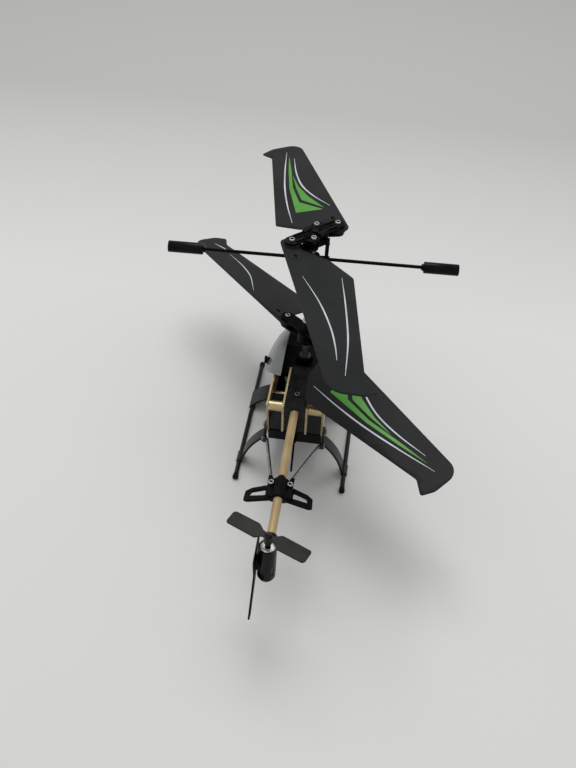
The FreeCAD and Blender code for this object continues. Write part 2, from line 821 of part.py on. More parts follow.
def build_housing():
    """The lower housing with its nose tray, open on top for the motors and the battery."""
    lower = padded("housing_lower", "YZ_Plane", (
        (d.housing_front, d.housing_bottom),
        (d.housing_rear_bottom, d.housing_bottom),
        (d.housing_rear_top, d.housing_step),
        (d.housing_front, d.housing_step),
    ), -d.housing_half, d.housing_half * 2, rounds=1.0)
    upper = box("housing_upper", (-d.deck_half, d.housing_front, d.housing_step - 1),
                (d.deck_half, d.housing_upper_rear, d.housing_top))
    tray = box("tray", (-d.tray_half, d.tray_front, d.tray_bottom),
               (d.tray_half, d.housing_front, d.tray_top))
    whole = fuse("housing_whole", lower, upper, tray)
    wall = d.housing_wall
    cavity = box("housing_cavity", (-d.deck_half + wall, d.housing_front + wall, d.housing_bottom + wall),
                 (d.deck_half - wall, d.housing_upper_rear - wall, d.housing_top))
    tray_wall = d.tray_wall
    tray_room = box("tray_room",
                    (-d.tray_half + tray_wall, d.tray_front + tray_wall, d.tray_bottom + tray_wall),
                    (d.tray_half - tray_wall, d.housing_front + wall,
                     d.tray_bottom + tray_wall + d.battery_high + 0.4))
    slot_half = d.switch_slot_length / 2
    slot_rise = d.switch_slot_high / 2
    switch_slot = box("switch_slot",
                      (-d.housing_half, d.switch_along - slot_half, d.switch_height - slot_rise),
                      (-d.deck_half + wall, d.switch_along + slot_half, d.switch_height + slot_rise))
    ways = [cylinder(f"housing_leg_way_{side}", d.screw_shank_radius, wall,
                     (d.front_leg_screw_across * sign, d.front_leg_middle, d.housing_bottom), UP)
            for side, sign in (("left", 1), ("right", -1))]
    node(cut("housing", whole, cavity, tray_room, switch_slot, *ways), "lower_housing")


def build_battery():
    """A flat cell in the nose tray."""
    low = (-d.battery_half, d.battery_front, d.tray_bottom + d.tray_wall)
    high = (d.battery_half, d.battery_rear, d.tray_bottom + d.tray_wall + d.battery_high)
    node(box("battery_cell", low, high), "battery")


def build_switch():
    """The sliding power switch in the right side of the housing."""
    wall_inside = -d.deck_half + d.housing_wall
    knob_half = d.switch_knob_length / 2
    rise = d.switch_slot_high / 2 - 0.15
    stem = box("switch_stem",
               (-d.housing_half - d.switch_knob_out, d.switch_along - knob_half, d.switch_height - rise),
               (wall_inside + 0.3, d.switch_along + knob_half, d.switch_height + rise))
    flange = box("switch_flange",
                 (wall_inside + 0.2, d.switch_along - d.switch_flange_length / 2,
                  d.switch_height - d.switch_flange_high / 2),
                 (wall_inside + 1.2, d.switch_along + d.switch_flange_length / 2,
                  d.switch_height + d.switch_flange_high / 2))
    node(fuse("switch", stem, flange), "power_switch")


def build_electronics_case():
    """The black case between the plates, slotted for the inner plates, with the receiver board in it."""
    outline = (
        (d.case_front, d.case_bottom),
        (d.case_rear_bottom, d.case_bottom),
        (d.case_rear_top, d.case_top),
        (d.case_front, d.case_top),
    )
    half = d.outer_plate_face - d.plate_thick - d.case_gap
    whole = padded("case_whole", "YZ_Plane", outline, -half, half * 2)
    slots = []
    for side, sign in (("left", 1), ("right", -1)):
        face = d.inner_plate_face + d.case_gap
        thick = d.plate_thick + d.case_gap * 2
        start = face - thick if sign > 0 else -face
        slots.append(box("case_slot_" + side, (start, d.case_front, d.inner_plate_bottom - 0.4),
                         (start + thick, d.inner_rear_top, d.case_top)))
    room = box("case_room", (-d.inner_plate_face + d.plate_thick + d.case_wall, d.case_front, d.board_bottom),
               (d.inner_plate_face - d.plate_thick - d.case_wall, d.board_rear + 0.4, d.board_top + 0.5))
    barrel_room = []
    for side, sign in (("left", 1), ("right", -1)):
        start = d.inner_plate_face if sign > 0 else -d.outer_plate_face
        barrel_room.append(cylinder("barrel_room_" + side, d.spacer_radius + d.case_gap,
                                    d.outer_plate_face - d.inner_plate_face,
                                    (start, d.spacer_along, d.spacer_height), ACROSS))
    node(cut("case", whole, room, *slots, *barrel_room), "electronics_case")
    board = box("board", (-d.board_thick / 2, d.board_front, d.board_bottom + 0.2),
                (d.board_thick / 2, d.board_rear, d.board_top))
    node(board, "receiver_board")


def build_boom_holder():
    """The top cover between the inner plates, whose rear block grips the front of the boom."""
    half = d.inner_plate_face - d.plate_thick - d.case_gap
    block = padded("holder_block", "YZ_Plane", (
        (d.holder_front, d.holder_bottom),
        (d.holder_rear - 2, d.holder_bottom),
        (d.holder_rear, d.holder_top - 1.6),
        (d.holder_rear - 1.6, d.holder_top),
        (d.cover_front, d.holder_top),
        (d.cover_front, d.cover_bottom),
        (d.holder_front, d.cover_bottom),
    ), -half, half * 2)
    bore = cylinder("holder_bore", d.boom_radius, d.holder_rear - d.boom_front,
                    (0, d.boom_front, d.boom_height), ALONG)
    way = cylinder("holder_screw_way", d.screw_shank_radius, d.holder_top - d.boom_height,
                   (0, d.holder_screw_along, d.boom_height), UP)
    node(cut("holder", block, bore, way), "boom_holder")


# ---------------------------------------------------------------- decks, motors, gears and shafts

def gear_distance():
    """The distance between the mast and a motor shaft, from the tooth counts."""
    return d.tooth_module * (d.gear_teeth + d.pinion_teeth) / 2


def build_decks():
    """The two decks that carry the mast bearings and the motors."""
    lower = box("lower_deck_block", (-d.deck_half, -d.lower_deck_reach, d.housing_top),
                (d.deck_half, d.lower_deck_reach, d.lower_deck_top))
    shaft_way = cylinder("lower_deck_shaft_way", d.inner_bearing_radius, d.bearing_high,
                         (0, 0, d.lower_deck_top - d.bearing_high), UP)
    shaft_end = cylinder("lower_deck_shaft_end", d.inner_shaft_radius + 0.4,
                         d.lower_deck_top - d.housing_top, (0, 0, d.housing_top), UP)
    motor_ways = [
        cylinder(f"{place}_motor_way", d.motor_shaft_radius + 0.6, d.lower_deck_top - d.housing_top,
                 (0, gear_distance() * sign, d.housing_top), UP)
        for place, sign in (("front", -1), ("rear", 1))
    ]
    node(cut("lower_deck_cut", lower, shaft_way, shaft_end, *motor_ways), "lower_deck")
    upper = box("upper_deck_block", (-d.deck_half, -d.upper_deck_reach, d.upper_deck_bottom),
                (d.deck_half, d.upper_deck_reach, d.upper_deck_top))
    boss = cylinder("upper_deck_boss", d.deck_boss_radius, d.deck_boss_top - d.upper_deck_bottom,
                    (0, 0, d.upper_deck_bottom), UP)
    solid = fuse("upper_deck_solid", upper, boss)
    ways = [
        cylinder("upper_deck_shaft_way", d.outer_shaft_radius + 0.4,
                 d.deck_boss_top - d.upper_deck_bottom, (0, 0, d.upper_deck_bottom), UP),
        cylinder("upper_deck_low_seat", d.outer_bearing_radius, d.bearing_high,
                 (0, 0, d.upper_deck_bottom), UP),
        cylinder("upper_deck_high_seat", d.outer_bearing_radius, d.bearing_high,
                 (0, 0, d.deck_boss_top - d.bearing_high), UP),
    ]
    node(cut("upper_deck_cut", solid, *ways), "upper_deck")


def build_bearings():
    """One bush for the inner shaft and two for the outer shaft, fixed in the decks."""
    fit = d.running_fit
    bushes = [
        tube("inner_bush", d.inner_bearing_radius, d.inner_shaft_radius + fit, d.bearing_high,
             (0, 0, d.lower_deck_top - d.bearing_high)),
        tube("outer_low_bush", d.outer_bearing_radius, d.outer_shaft_radius + fit, d.bearing_high,
             (0, 0, d.upper_deck_bottom)),
        tube("outer_high_bush", d.outer_bearing_radius, d.outer_shaft_radius + fit, d.bearing_high,
             (0, 0, d.deck_boss_top - d.bearing_high)),
    ]
    node(group("bush_set", bushes), "shaft_bearings")


def build_motors():
    """Two upright motors under the lower deck, one for each rotor."""
    for place, sign in (("front", -1), ("rear", 1)):
        bottom = d.housing_top - d.motor_length
        centre = (0, gear_distance() * sign, bottom)
        can = cylinder(place + "_can", d.motor_radius, d.motor_length, centre)
        bore = cylinder(place + "_can_bore", d.motor_shaft_radius + d.running_fit, 4,
                        (0, gear_distance() * sign, d.housing_top - 4))
        node(cut(place + "_motor_cut", can, bore), place + "_motor")


def toothed_wheel(teeth, thick, turn):
    """A spur wheel with straight-flanked teeth, its first tooth turned by turn."""
    module = d.tooth_module.number
    outer = module * (teeth / 2 + 0.95)
    root = module * (teeth / 2 - 1.2)
    pitch = 2 * math.pi / teeth
    points = []
    for tooth in range(teeth):
        middle = turn + tooth * pitch
        for radius, part in ((root, -0.30), (outer, -0.13), (outer, 0.13), (root, 0.30)):
            angle = middle + part * pitch
            points.append(Vector(radius * math.cos(angle), radius * math.sin(angle), 0))
    rim = Part.makePolygon(points + points[:1])
    return Part.Face(rim).extrude(Vector(0, 0, thick))


def build_gears():
    """The two main gears and the two motor pinions, in mesh at rest."""
    teeth = int(d.gear_teeth.number)
    small = int(d.pinion_teeth.number)
    thick = d.gear_thick.number
    half_pitch = math.pi / teeth
    quarter_turn = math.pi / 2
    rows = (
        ("lower", -1, d.lower_gear_bottom, d.inner_shaft_radius, "front"),
        ("upper", 1, d.upper_gear_bottom, d.outer_shaft_radius, "rear"),
    )
    for level, side, bottom, shaft, place in rows:
        turn = quarter_turn * side + half_pitch
        wheel = toothed_wheel(teeth, thick, turn)
        hub_radius = d.gear_hub_radius.number
        hub = Part.makeCylinder(hub_radius, thick + d.gear_hub_high.number)
        wheel = wheel.fuse(hub)
        wheel = wheel.cut(Part.makeCylinder(shaft.number, 3 * thick, Vector(0, 0, -thick)))
        for step in range(6):
            angle = step * math.pi / 3
            circle = d.gear_window_circle.number
            spot = Vector(circle * math.cos(angle), circle * math.sin(angle), -thick)
            wheel = wheel.cut(Part.makeCylinder(d.gear_window_radius.number, 3 * thick, spot))
        node(feature(level + "_wheel", wheel, Vector(0, 0, bottom.number)), level + "_main_gear")
        toothed = toothed_wheel(small, d.pinion_high.number, -quarter_turn * side)
        centre = Vector(0, gear_distance().number * side, bottom.number - 0.5)
        toothed.translate(centre)
        start = Vector(0, centre.y, d.housing_top.number - 3.9)
        length = bottom.number + d.pinion_high.number - start.z
        shaft_rod = Part.makeCylinder(d.motor_shaft_radius.number, length, start)
        node(feature(place + "_toothed_shaft", toothed.fuse(shaft_rod).removeSplitter()), place + "_pinion")


def build_shafts():
    """The solid inner shaft, the tubular outer shaft round it and the collar on the outer shaft."""
    rod = cylinder("inner_rod", d.inner_shaft_radius, d.inner_shaft_top - d.inner_shaft_bottom,
                   (0, 0, d.inner_shaft_bottom))
    ways = []
    for name, height, azimuth in (("head", d.upper_hinge_height, d.upper_hub_azimuth),
                                  ("flybar", d.flybar_height, d.flybar_azimuth + 90)):
        way = pin_along(name + "_pin_way", height, azimuth)
        ways.append(way)
    node(cut("inner_shaft_cut", rod, *ways), "inner_shaft")
    node(tube("outer_tube", d.outer_shaft_radius, d.inner_shaft_radius + d.running_fit,
              d.outer_shaft_top - d.outer_shaft_bottom, (0, 0, d.outer_shaft_bottom)), "outer_shaft")
    start = d.lower_hinge_height + d.fork_gap + d.fork_thick
    node(tube("collar", d.collar_radius, d.outer_shaft_radius, d.collar_top - start,
              (0, 0, start)), "shaft_collar")
    pins = [pin_along(name + "_pin", height, azimuth)
            for name, height, azimuth in (("head", d.upper_hinge_height, d.upper_hub_azimuth),
                                          ("flybar", d.flybar_height, d.flybar_azimuth + 90))]
    node(group("pin_set", pins), "pivot_pins")


def pin_along(name, height, azimuth):
    """A cross pin through the mast, lying along an azimuth."""
    azimuth = Size.of(azimuth)
    heading = Vector(azimuth.cosine().number, azimuth.sine().number, 0)
    across, along = on_circle(-d.pivot_pin_half, azimuth)
    return cylinder(name, d.pivot_pin_radius, d.pivot_pin_half * 2, (across, along, height), heading)


# ---------------------------------------------------------------- rotor heads

def blade_bolt(name, across, along, hinge):
    """The bolt that one blade swings on: its head stands on the top fork."""
    top = hinge + d.fork_gap + d.fork_thick
    head = cylinder(name + "_head", d.bolt_head_radius, d.bolt_head_high, (across, along, top))
    low = hinge - d.fork_gap - d.fork_thick
    shank = cylinder(name + "_shank", d.bolt_radius, top - low, (across, along, low))
    return fuse(name, head, shank)


def bolt_way(name, across, along, hinge):
    """The hole that a blade bolt or head screw fills in the forks."""
    low = hinge - d.fork_gap - d.fork_thick
    return cylinder(name, d.bolt_radius, (d.fork_gap + d.fork_thick) * 2, (across, along, low))


def build_lower_head():
    """The lower hub with its two-armed top plate, fixed on the outer shaft."""
    hinge = d.lower_hinge_height
    ends = [on_circle(d.lower_hinge_radius, d.lower_hub_azimuth + turn) for turn in (0, 180)]
    radii = (d.arm_end_radius, d.arm_end_radius)
    under = stadium("lower_arm", *ends, radii, hinge - d.fork_gap - d.fork_thick, d.fork_thick)
    barrel = cylinder("lower_barrel", d.lower_hub_radius,
                      hinge + d.fork_gap - d.lower_hub_bottom, (0, 0, d.lower_hub_bottom))
    over = stadium("lower_top_arm", *ends, radii, hinge + d.fork_gap, d.fork_thick)
    for part, label in ((fuse("lower_hub_solid", under, barrel), "lower_hub"), (over, "lower_hub_plate")):
        ways = [bolt_way(f"{label}_way_{index}", *end, hinge) for index, end in enumerate(ends)]
        mast = cylinder(label + "_mast_way", d.outer_shaft_radius, 30, (0, 0, d.lower_hub_bottom - 1))
        node(cut(label + "_cut", part, mast, *ways), label)
    bolts = [blade_bolt(f"lower_bolt_{index}", *end, hinge) for index, end in enumerate(ends)]
    node(group("lower_bolt_set", bolts), "lower_blade_bolts")


def build_upper_head():
    """The tilting upper hub, its top plate and the bolts and screws through them."""
    hinge = d.upper_hinge_height
    bolts = [on_circle(d.upper_hinge_radius, d.upper_hub_azimuth + turn) for turn in (0, 180)]
    screws = [on_circle(d.head_screw_radius, d.head_screw_azimuth + turn) for turn in (0, 180)]
    low = hinge - d.fork_gap - d.fork_thick
    top = hinge + d.fork_gap
    plates = {}
    for level, bottom in (("under", low), ("over", top)):
        arms = []
        for index, (bolt, fastener) in enumerate(zip(bolts, screws)):
            arms.append(stadium(f"upper_{level}_arm_{index}", bolt, fastener,
                                (d.arm_end_radius, d.arm_inner_radius), bottom, d.fork_thick))
        arms.append(stadium(f"upper_{level}_bar", *screws, (d.arm_inner_radius, d.arm_inner_radius),
                            bottom, d.fork_thick))
        plates[level] = arms
    length, width = d.upper_hub_half_length, d.upper_hub_half_width
    block = turn_about_mast(box("upper_block", (-length, -width, 0), (length, width, top - d.upper_hub_bottom)),
                            d.upper_hub_azimuth)
    across, along = rotated_corner(-length, -width, d.upper_hub_azimuth)
    move_to(block, (across, along, d.upper_hub_bottom))
    posts = [cylinder(f"upper_post_{index}", 1.5, d.fork_gap * 2, (*place, hinge - d.fork_gap))
             for index, place in enumerate(screws)]
    under = fuse("upper_hub_solid", block, *plates["under"], *posts, link_horn())
    over = fuse("upper_plate_solid", *plates["over"])
    for part, label in ((under, "upper_hub"), (over, "upper_hub_plate")):
        ways = [bolt_way(f"{label}_way_{index}", *place, hinge)
                for index, place in enumerate(bolts + screws)]
        node(cut(label + "_cut", part, tilt_room(label), *ways), label)
    fasteners = [blade_bolt(f"upper_bolt_{index}", *place, hinge)
                 for index, place in enumerate(bolts + screws)]
    node(group("upper_bolt_set", fasteners), "upper_head_bolts")


def rotated_corner(across, along, azimuth):
    """The plan position of a point after a turn about the mast."""
    across, along = Size.of(across), Size.of(along)
    cosine, sine = azimuth.cosine(), azimuth.sine()
    return (across * cosine - along * sine, across * sine + along * cosine)


def tilt_room(label):
    """The room round the mast that lets the head tilt on its pin, and the pin's own hole."""
    narrow = d.inner_shaft_radius + 0.15
    wide = d.tilt_slot_half
    high = d.upper_hinge_height + d.fork_gap + d.fork_thick + 1 - d.upper_hub_bottom
    slot = turn_about_mast(box(label + "_slot", (-narrow, -wide, 0), (narrow, wide, high + 1)),
                           d.upper_hub_azimuth)
    across, along = rotated_corner(-narrow, -wide, d.upper_hub_azimuth)
    move_to(slot, (across, along, d.upper_hub_bottom - 1))
    azimuth = d.upper_hub_azimuth
    heading = Vector(azimuth.cosine().number, azimuth.sine().number, 0)
    reach = d.pivot_pin_half + 1
    start = on_circle(-reach, azimuth)
    pin = cylinder(label + "_pin_room", d.pivot_pin_radius + d.running_fit, reach * 2,
                   (*start, d.upper_hinge_height), heading)
    return fuse(label + "_tilt_room", slot, pin)


def link_place(out, aside):
    """The plan position of a point given along and beside the left-hand half of the flybar."""
    azimuth = d.flybar_azimuth
    out, aside = Size.of(out), Size.of(aside)
    return (-(out * azimuth.cosine()) - aside * azimuth.sine(), aside * azimuth.cosine() - out * azimuth.sine())


def link_pin(name, height, radius, start, length):
    """A pin that stands out sideways at the link, at a height."""
    azimuth = d.flybar_azimuth.number + 90
    heading = Vector(math.cos(math.radians(azimuth)), math.sin(math.radians(azimuth)), 0)
    return cylinder(name, radius, length, (*link_place(d.link_out, start), height), heading)


def link_horn():
    """The horn of the upper hub that the link pulls on, with its pin."""
    height = d.link_top_height
    start = link_place(d.link_out + 1.2, -1.4)
    horn = turn_about_mast(box("horn", (0, 0, 0), (d.link_out - 1.6, 3.2, 2.2)), d.flybar_azimuth)
    move_to(horn, (*start, height - 1.1))
    pin = link_pin("horn_pin", height, d.link_pin_radius, 1.6, d.link_aside + d.link_thick - 1.6)
    return fuse("link_horn", horn, pin)


def build_flybar():
    """The teetering flybar, its two weights and the link up to the hub."""
    height = d.flybar_height
    azimuth = d.flybar_azimuth
    ring = cylinder("yoke_ring", d.yoke_radius, d.yoke_half_high * 2, (0, 0, height - d.yoke_half_high))
    reach = d.yoke_arm_end
    heading = Vector(azimuth.cosine().number, azimuth.sine().number, 0)
    arms = cylinder("yoke_arms", d.yoke_arm_radius, reach * 2, (*on_circle(-reach, azimuth), height), heading)
    stud = link_pin("yoke_stud", height, d.link_pin_radius, 1.0, d.link_aside + d.link_thick - 1.0)
    rods = [flybar_run(f"rod_{index}", d.flybar_rod_radius, reach - 1, d.flybar_half - 1, turn)
            for index, turn in enumerate((0, 180))]
    solid = fuse("yoke_solid", ring, arms, stud, *rods)
    narrow = d.inner_shaft_radius + 0.15
    wide = d.tilt_slot_half - 0.3
    slot = turn_about_mast(box("yoke_slot", (-wide, -narrow, 0), (wide, narrow, d.yoke_half_high * 2)), azimuth)
    across, along = rotated_corner(-wide, -narrow, azimuth)
    move_to(slot, (across, along, height - d.yoke_half_high))
    side = azimuth + 90
    pin_heading = Vector(side.cosine().number, side.sine().number, 0)
    pin_reach = d.pivot_pin_half + 1
    pin = cylinder("yoke_pin_room", d.pivot_pin_radius + d.running_fit, pin_reach * 2,
                   (*on_circle(-pin_reach, side), height), pin_heading)
    node(cut("yoke", solid, slot, pin), "flybar")
    for side, turn in (("left", 0), ("right", 180)):
        body = flybar_run(side + "_weight_body", d.weight_radius, d.weight_start, d.flybar_half, turn)
        way = flybar_run(side + "_weight_way", d.flybar_rod_radius, d.weight_start - 1, d.flybar_half - 1, turn)
        node(cut(side + "_weight", body, way), "flybar_weight_" + side)
    node(build_link(), "flybar_link")


def flybar_run(name, radius, start, end, turn):
    """A round bar along one half of the flybar."""
    azimuth = d.flybar_azimuth + turn
    heading = Vector(azimuth.cosine().number, azimuth.sine().number, 0)
    place = (*on_circle(start, azimuth), d.flybar_height)
    return cylinder(name, radius, Size.of(end) - start, place, heading)


def build_link():
    """The upright link between the yoke's stud and the hub's horn, with an eye at each end."""
    low, top = d.flybar_height, d.link_top_height
    inside = d.link_aside
    thick = d.link_thick
    eyes = [link_pin(f"link_eye_{index}", height, d.link_half_width + 0.3, inside, thick)
            for index, height in enumerate((low, top))]
    plain_bar = box("link_bar", (0, 0, 0), (d.link_half_width * 2, thick, top - low))
    bar = turn_about_mast(plain_bar, d.flybar_azimuth)
    move_to(bar, (*link_place(d.link_out + d.link_half_width, inside), low))
    solid = fuse("link_solid", bar, *eyes)
    low_way = link_pin("link_low_way", low, d.link_pin_radius + d.running_fit, inside - 1, thick + 2)
    top_way = link_pin("link_top_way", top, d.link_pin_radius + d.link_top_play, inside - 1, thick + 2)
    return cut("link", solid, low_way, top_way)


# ---------------------------------------------------------------- blades

def rounded_wire(corners):
    """A closed flat wire through (x, y, radius) corners, each rounded to its radius."""
    count = len(corners)
    trims = []
    for index, (x, y, radius) in enumerate(corners):
        here = Vector(x, y, 0)
        before = Vector(*corners[index - 1][:2], 0) - here
        after = Vector(*corners[(index + 1) % count][:2], 0) - here
        half = before.getAngle(after) / 2
        back = radius / math.tan(half)
        middle = (before.normalize() + after.normalize()).normalize()
        centre = here + middle * (radius / math.sin(half))
        trims.append((here + before * back, centre - middle * radius, here + after * back))
    edges = []
    for index in range(count):
        start, crown, end = trims[index]
        edges.append(Part.Arc(start, crown, end).toShape())
        edges.append(Part.makeLine(end, trims[(index + 1) % count][0]))
    return Part.Wire(edges)


def blade_height(out, chordwise, pitch):
    """How far a blade's mid surface stands above its hinge: droop, pitch and camber."""
    droop = d.blade_droop.number * out / d.blade_tip.number
    middle, half = 10.0, 22.0
    camber = d.blade_camber.number * ((middle / half) ** 2 - ((chordwise - middle) / half) ** 2)
    return camber - droop - math.tan(math.radians(pitch)) * chordwise


def blade_section(out, pitch, hand):
    """A closed section of the blade's sheet at one distance out."""
    half = d.blade_thick.number / 2
    across = [-14 + 6.5 * step for step in range(9)]
    skins = []
    for side in (1, -1):
        heights = [blade_height(out, place, pitch) + side * half for place in across]
        points = [Vector(out, hand * place, height) for place, height in zip(across, heights)]
        curve = Part.BSplineCurve()
        curve.interpolate(points)
        skins.append((curve.toShape(), points))
    (top, top_points), (under, under_points) = skins
    ends = [Part.makeLine(top_points[-1], under_points[-1]), Part.makeLine(under_points[0], top_points[0])]
    return Part.Wire(Part.__sortEdges__([top, under, *ends]))


def blade_outline(hand):
    """The blade seen from above: straight leading edge, wide root and a small hook at the tip."""
    front = d.blade_front.number
    tip = d.blade_tip.number
    corners = (
        (-5.4, front, 4.6),
        (tip - 1.5, front, 9.0),
        (tip + 0.6, 12.0, 8.0),
        (tip - 2.2, 19.6, 1.4),
        (tip - 11.5, 15.0, 4.0),
        (22.8, 30.9, 2.6),
        (9.8, 19.6, 6.0),
        (3.9, 5.2, 1.0),
        (-5.4, 5.2, 4.0),
    )
    return rounded_wire([(out, hand * place, radius) for out, place, radius in corners])


def blade_shape(root_pitch, tip_pitch, hand):
    """One blade about its hinge; hand is 1 for the upper rotor and -1 for its mirror image."""
    tip = d.blade_tip.number
    stations = (-8.0, tip * 0.25, tip * 0.6, tip + 2.0)
    sections = []
    for out in stations:
        share = max(out, 0.0) / tip
        pitch = root_pitch.number + (tip_pitch.number - root_pitch.number) * share
        sections.append(blade_section(out, pitch, hand))
    sheet = Part.makeLoft(sections, True, False)
    prism = Part.Face(blade_outline(hand)).extrude(Vector(0, 0, 80))
    prism.translate(Vector(0, 0, -50))
    half = d.blade_pad_half.number
    relief = d.blade_relief_radius.number
    over = Part.makeCylinder(relief, 20, Vector(0, 0, half))
    under = Part.makeCylinder(relief, 20, Vector(0, 0, -half - 20))
    blade = sheet.common(prism).cut(over).cut(under)
    pad = Part.makeCylinder(d.blade_pad_radius.number, half * 2, Vector(0, 0, -half))
    blade = blade.fuse(pad)
    hole = Part.makeCylinder(d.bolt_radius.number + d.running_fit.number, 20, Vector(0, 0, -10))
    slot = slot_tool(d.blade_slot_out.number, d.blade_slot_length.number, d.blade_slot_radius.number)
    return blade.cut(hole).cut(slot).Solids[0]


def slot_tool(out, length, radius):
    """The short slot behind a blade's bolt hole."""
    start = out - length / 2
    tool = Part.makeBox(length, 2 * radius, 20, Vector(start, -radius, -10))
    for place in (start, start + length):
        tool = tool.fuse(Part.makeCylinder(radius, 20, Vector(place, 0, -10)))
    return tool


def build_blades():
    """Two upper blades and two lower ones, which are their mirror image."""
    rows = (
        ("upper", 1, d.upper_hinge_height, d.upper_hinge_radius, d.upper_hub_azimuth,
         (d.upper_blade_a_azimuth, d.upper_blade_b_azimuth), d.upper_pitch_root, d.upper_pitch_tip),
        ("lower", -1, d.lower_hinge_height, d.lower_hinge_radius, d.lower_hub_azimuth,
         (d.lower_blade_a_azimuth, d.lower_blade_b_azimuth), d.lower_pitch_root, d.lower_pitch_tip),
    )
    for level, hand, height, radius, hub, azimuths, root_pitch, tip_pitch in rows:
        shape = blade_shape(root_pitch, tip_pitch, hand)
        for letter, turn, azimuth in zip("ab", (180, 0), azimuths):
            across, along = on_circle(radius, hub + turn)
            base = Vector(across.number, along.number, height.number)
            label = f"{level}_blade_{letter}"
            node(feature(label + "_shape", shape.copy(), base, azimuth.number), label)


# ---------------------------------------------------------------- tail

def build_boom():
    """The round tail boom."""
    node(cylinder("boom", d.boom_radius, d.boom_rear - d.boom_front, (0, d.boom_front, d.boom_height), ALONG),
         "tail_boom")


def build_clamp():
    """The stabiliser clamp on the boom and the two-looped stabiliser under it."""
    outline = (
        (d.clamp_nose_half, d.clamp_front),
        (d.clamp_half, d.clamp_shoulder),
        (d.clamp_half - 0.4, d.clamp_rear - 1.2),
        (d.clamp_nose_half, d.clamp_rear),
        (-d.clamp_nose_half, d.clamp_rear),
        (-d.clamp_half + 0.4, d.clamp_rear - 1.2),
        (-d.clamp_half, d.clamp_shoulder),
        (-d.clamp_nose_half, d.clamp_front),
    )
    base = padded("clamp_base", "XY_Plane", outline, d.clamp_bottom, d.clamp_top - d.clamp_bottom, rounds=0.6)
    length = d.clamp_rear - d.clamp_front
    hump_outline = (
        (d.clamp_hump_tip, d.clamp_front),
        (d.clamp_hump_half, d.clamp_front + d.clamp_hump_nose),
        (d.clamp_hump_half, d.clamp_rear - d.clamp_hump_chamfer),
        (d.clamp_hump_half - d.clamp_hump_chamfer, d.clamp_rear),
        (-d.clamp_hump_half + d.clamp_hump_chamfer, d.clamp_rear),
        (-d.clamp_hump_half, d.clamp_rear - d.clamp_hump_chamfer),
        (-d.clamp_hump_half, d.clamp_front + d.clamp_hump_nose),
        (-d.clamp_hump_tip, d.clamp_front),
    )
    hump = padded("clamp_hump", "XY_Plane", hump_outline, d.clamp_bottom, d.clamp_hump_top - d.clamp_bottom,
                  rounds=0.4)
    bore = cylinder("clamp_bore", d.boom_radius, length, (0, d.clamp_front, d.boom_height), ALONG)
    solid = fuse("clamp_solid", base, hump)
    ways = screw_ways("clamp", d.clamp_bottom, d.clamp_top - d.clamp_bottom)
    node(cut("clamp", solid, bore, *ways), "stabiliser_clamp")
    node(build_stabiliser(), "stabiliser")


def screw_ways(name, bottom, high):
    """The two holes of the tail clamp's screws."""
    return [cylinder(f"{name}_way_{index}", d.screw_shank_radius, high,
                     (d.clamp_screw_across * sign, d.clamp_screw_along, bottom))
            for index, sign in enumerate((1, -1))]


def build_stabiliser():
    """A flat plate with one open three-cornered loop on each side."""
    bottom = d.clamp_bottom - d.stabiliser_thick
    tip = d.stabiliser_tip
    bar = d.stabiliser_bar
    outer = (
        (d.clamp_half - 1.6, d.clamp_shoulder - 1.7),
        (tip - 3.4, d.stabiliser_front),
        (tip - 0.4, d.stabiliser_front + 2.8),
        (tip, d.stabiliser_rear),
        (tip - 2.2, d.stabiliser_rear + 0.4),
        (d.clamp_nose_half, d.stabiliser_rear - 3.2),
    )
    whole = outer + tuple((-across, along) for across, along in reversed(outer))
    plate = padded("stabiliser_plate", "XY_Plane", whole, bottom, d.stabiliser_thick, rounds=0.9)
    windows = []
    for side, sign in (("left", 1), ("right", -1)):
        window = (
            (d.clamp_half + 0.6, d.clamp_shoulder + 1.8),
            (tip - bar - 1.8, d.stabiliser_front + bar),
            (tip - bar - 0.2, d.stabiliser_rear - 3.0),
            (d.clamp_half + 0.6, d.stabiliser_rear - 5.0),
        )
        corners = [(across * sign, along) for across, along in window]
        windows.append(padded(f"stabiliser_window_{side}", "XY_Plane", corners, bottom, d.stabiliser_thick,
                              rounds=0.6))
    ways = screw_ways("stabiliser", bottom, d.stabiliser_thick)
    return cut("stabiliser_cut", plate, *windows, *ways)


def build_struts():
    """The two polished struts between the rear legs and the tail clamp."""
    thick = d.strut_eye_thick
    for side, sign in (("left", 1), ("right", -1)):
        face = d.outer_plate_face * sign
        low = (d.strut_low_across * sign, d.strut_low_along, d.strut_low_height)
        knee = (d.strut_knee_across * sign, d.strut_knee_along, d.clamp_top + thick / 2)
        top = (d.clamp_screw_across * sign, d.clamp_screw_along)
        low_eye = cylinder(side + "_low_eye", d.strut_eye_radius, thick, (face, *low[1:]), ACROSS * -sign)
        tab = stadium(side + "_tab", top, knee[:2], (d.strut_eye_radius, d.strut_radius), d.clamp_top, thick)
        start = Vector(*[part.number for part in low])
        run = Vector(*[part.number for part in knee]) - start
        rod = feature(side + "_rod", Part.makeCylinder(d.strut_radius.number, run.Length, start, run))
        solid = fuse(side + "_strut_solid", low_eye, tab, rod)
        top_way = cylinder(side + "_top_way", d.screw_shank_radius, thick, (*top, d.clamp_top))
        low_way = cylinder(side + "_low_way", d.screw_shank_radius, thick * 4, (face, *low[1:]), ACROSS * -sign)
        node(cut(side + "_strut_cut", solid, top_way, low_way), side + "_strut")


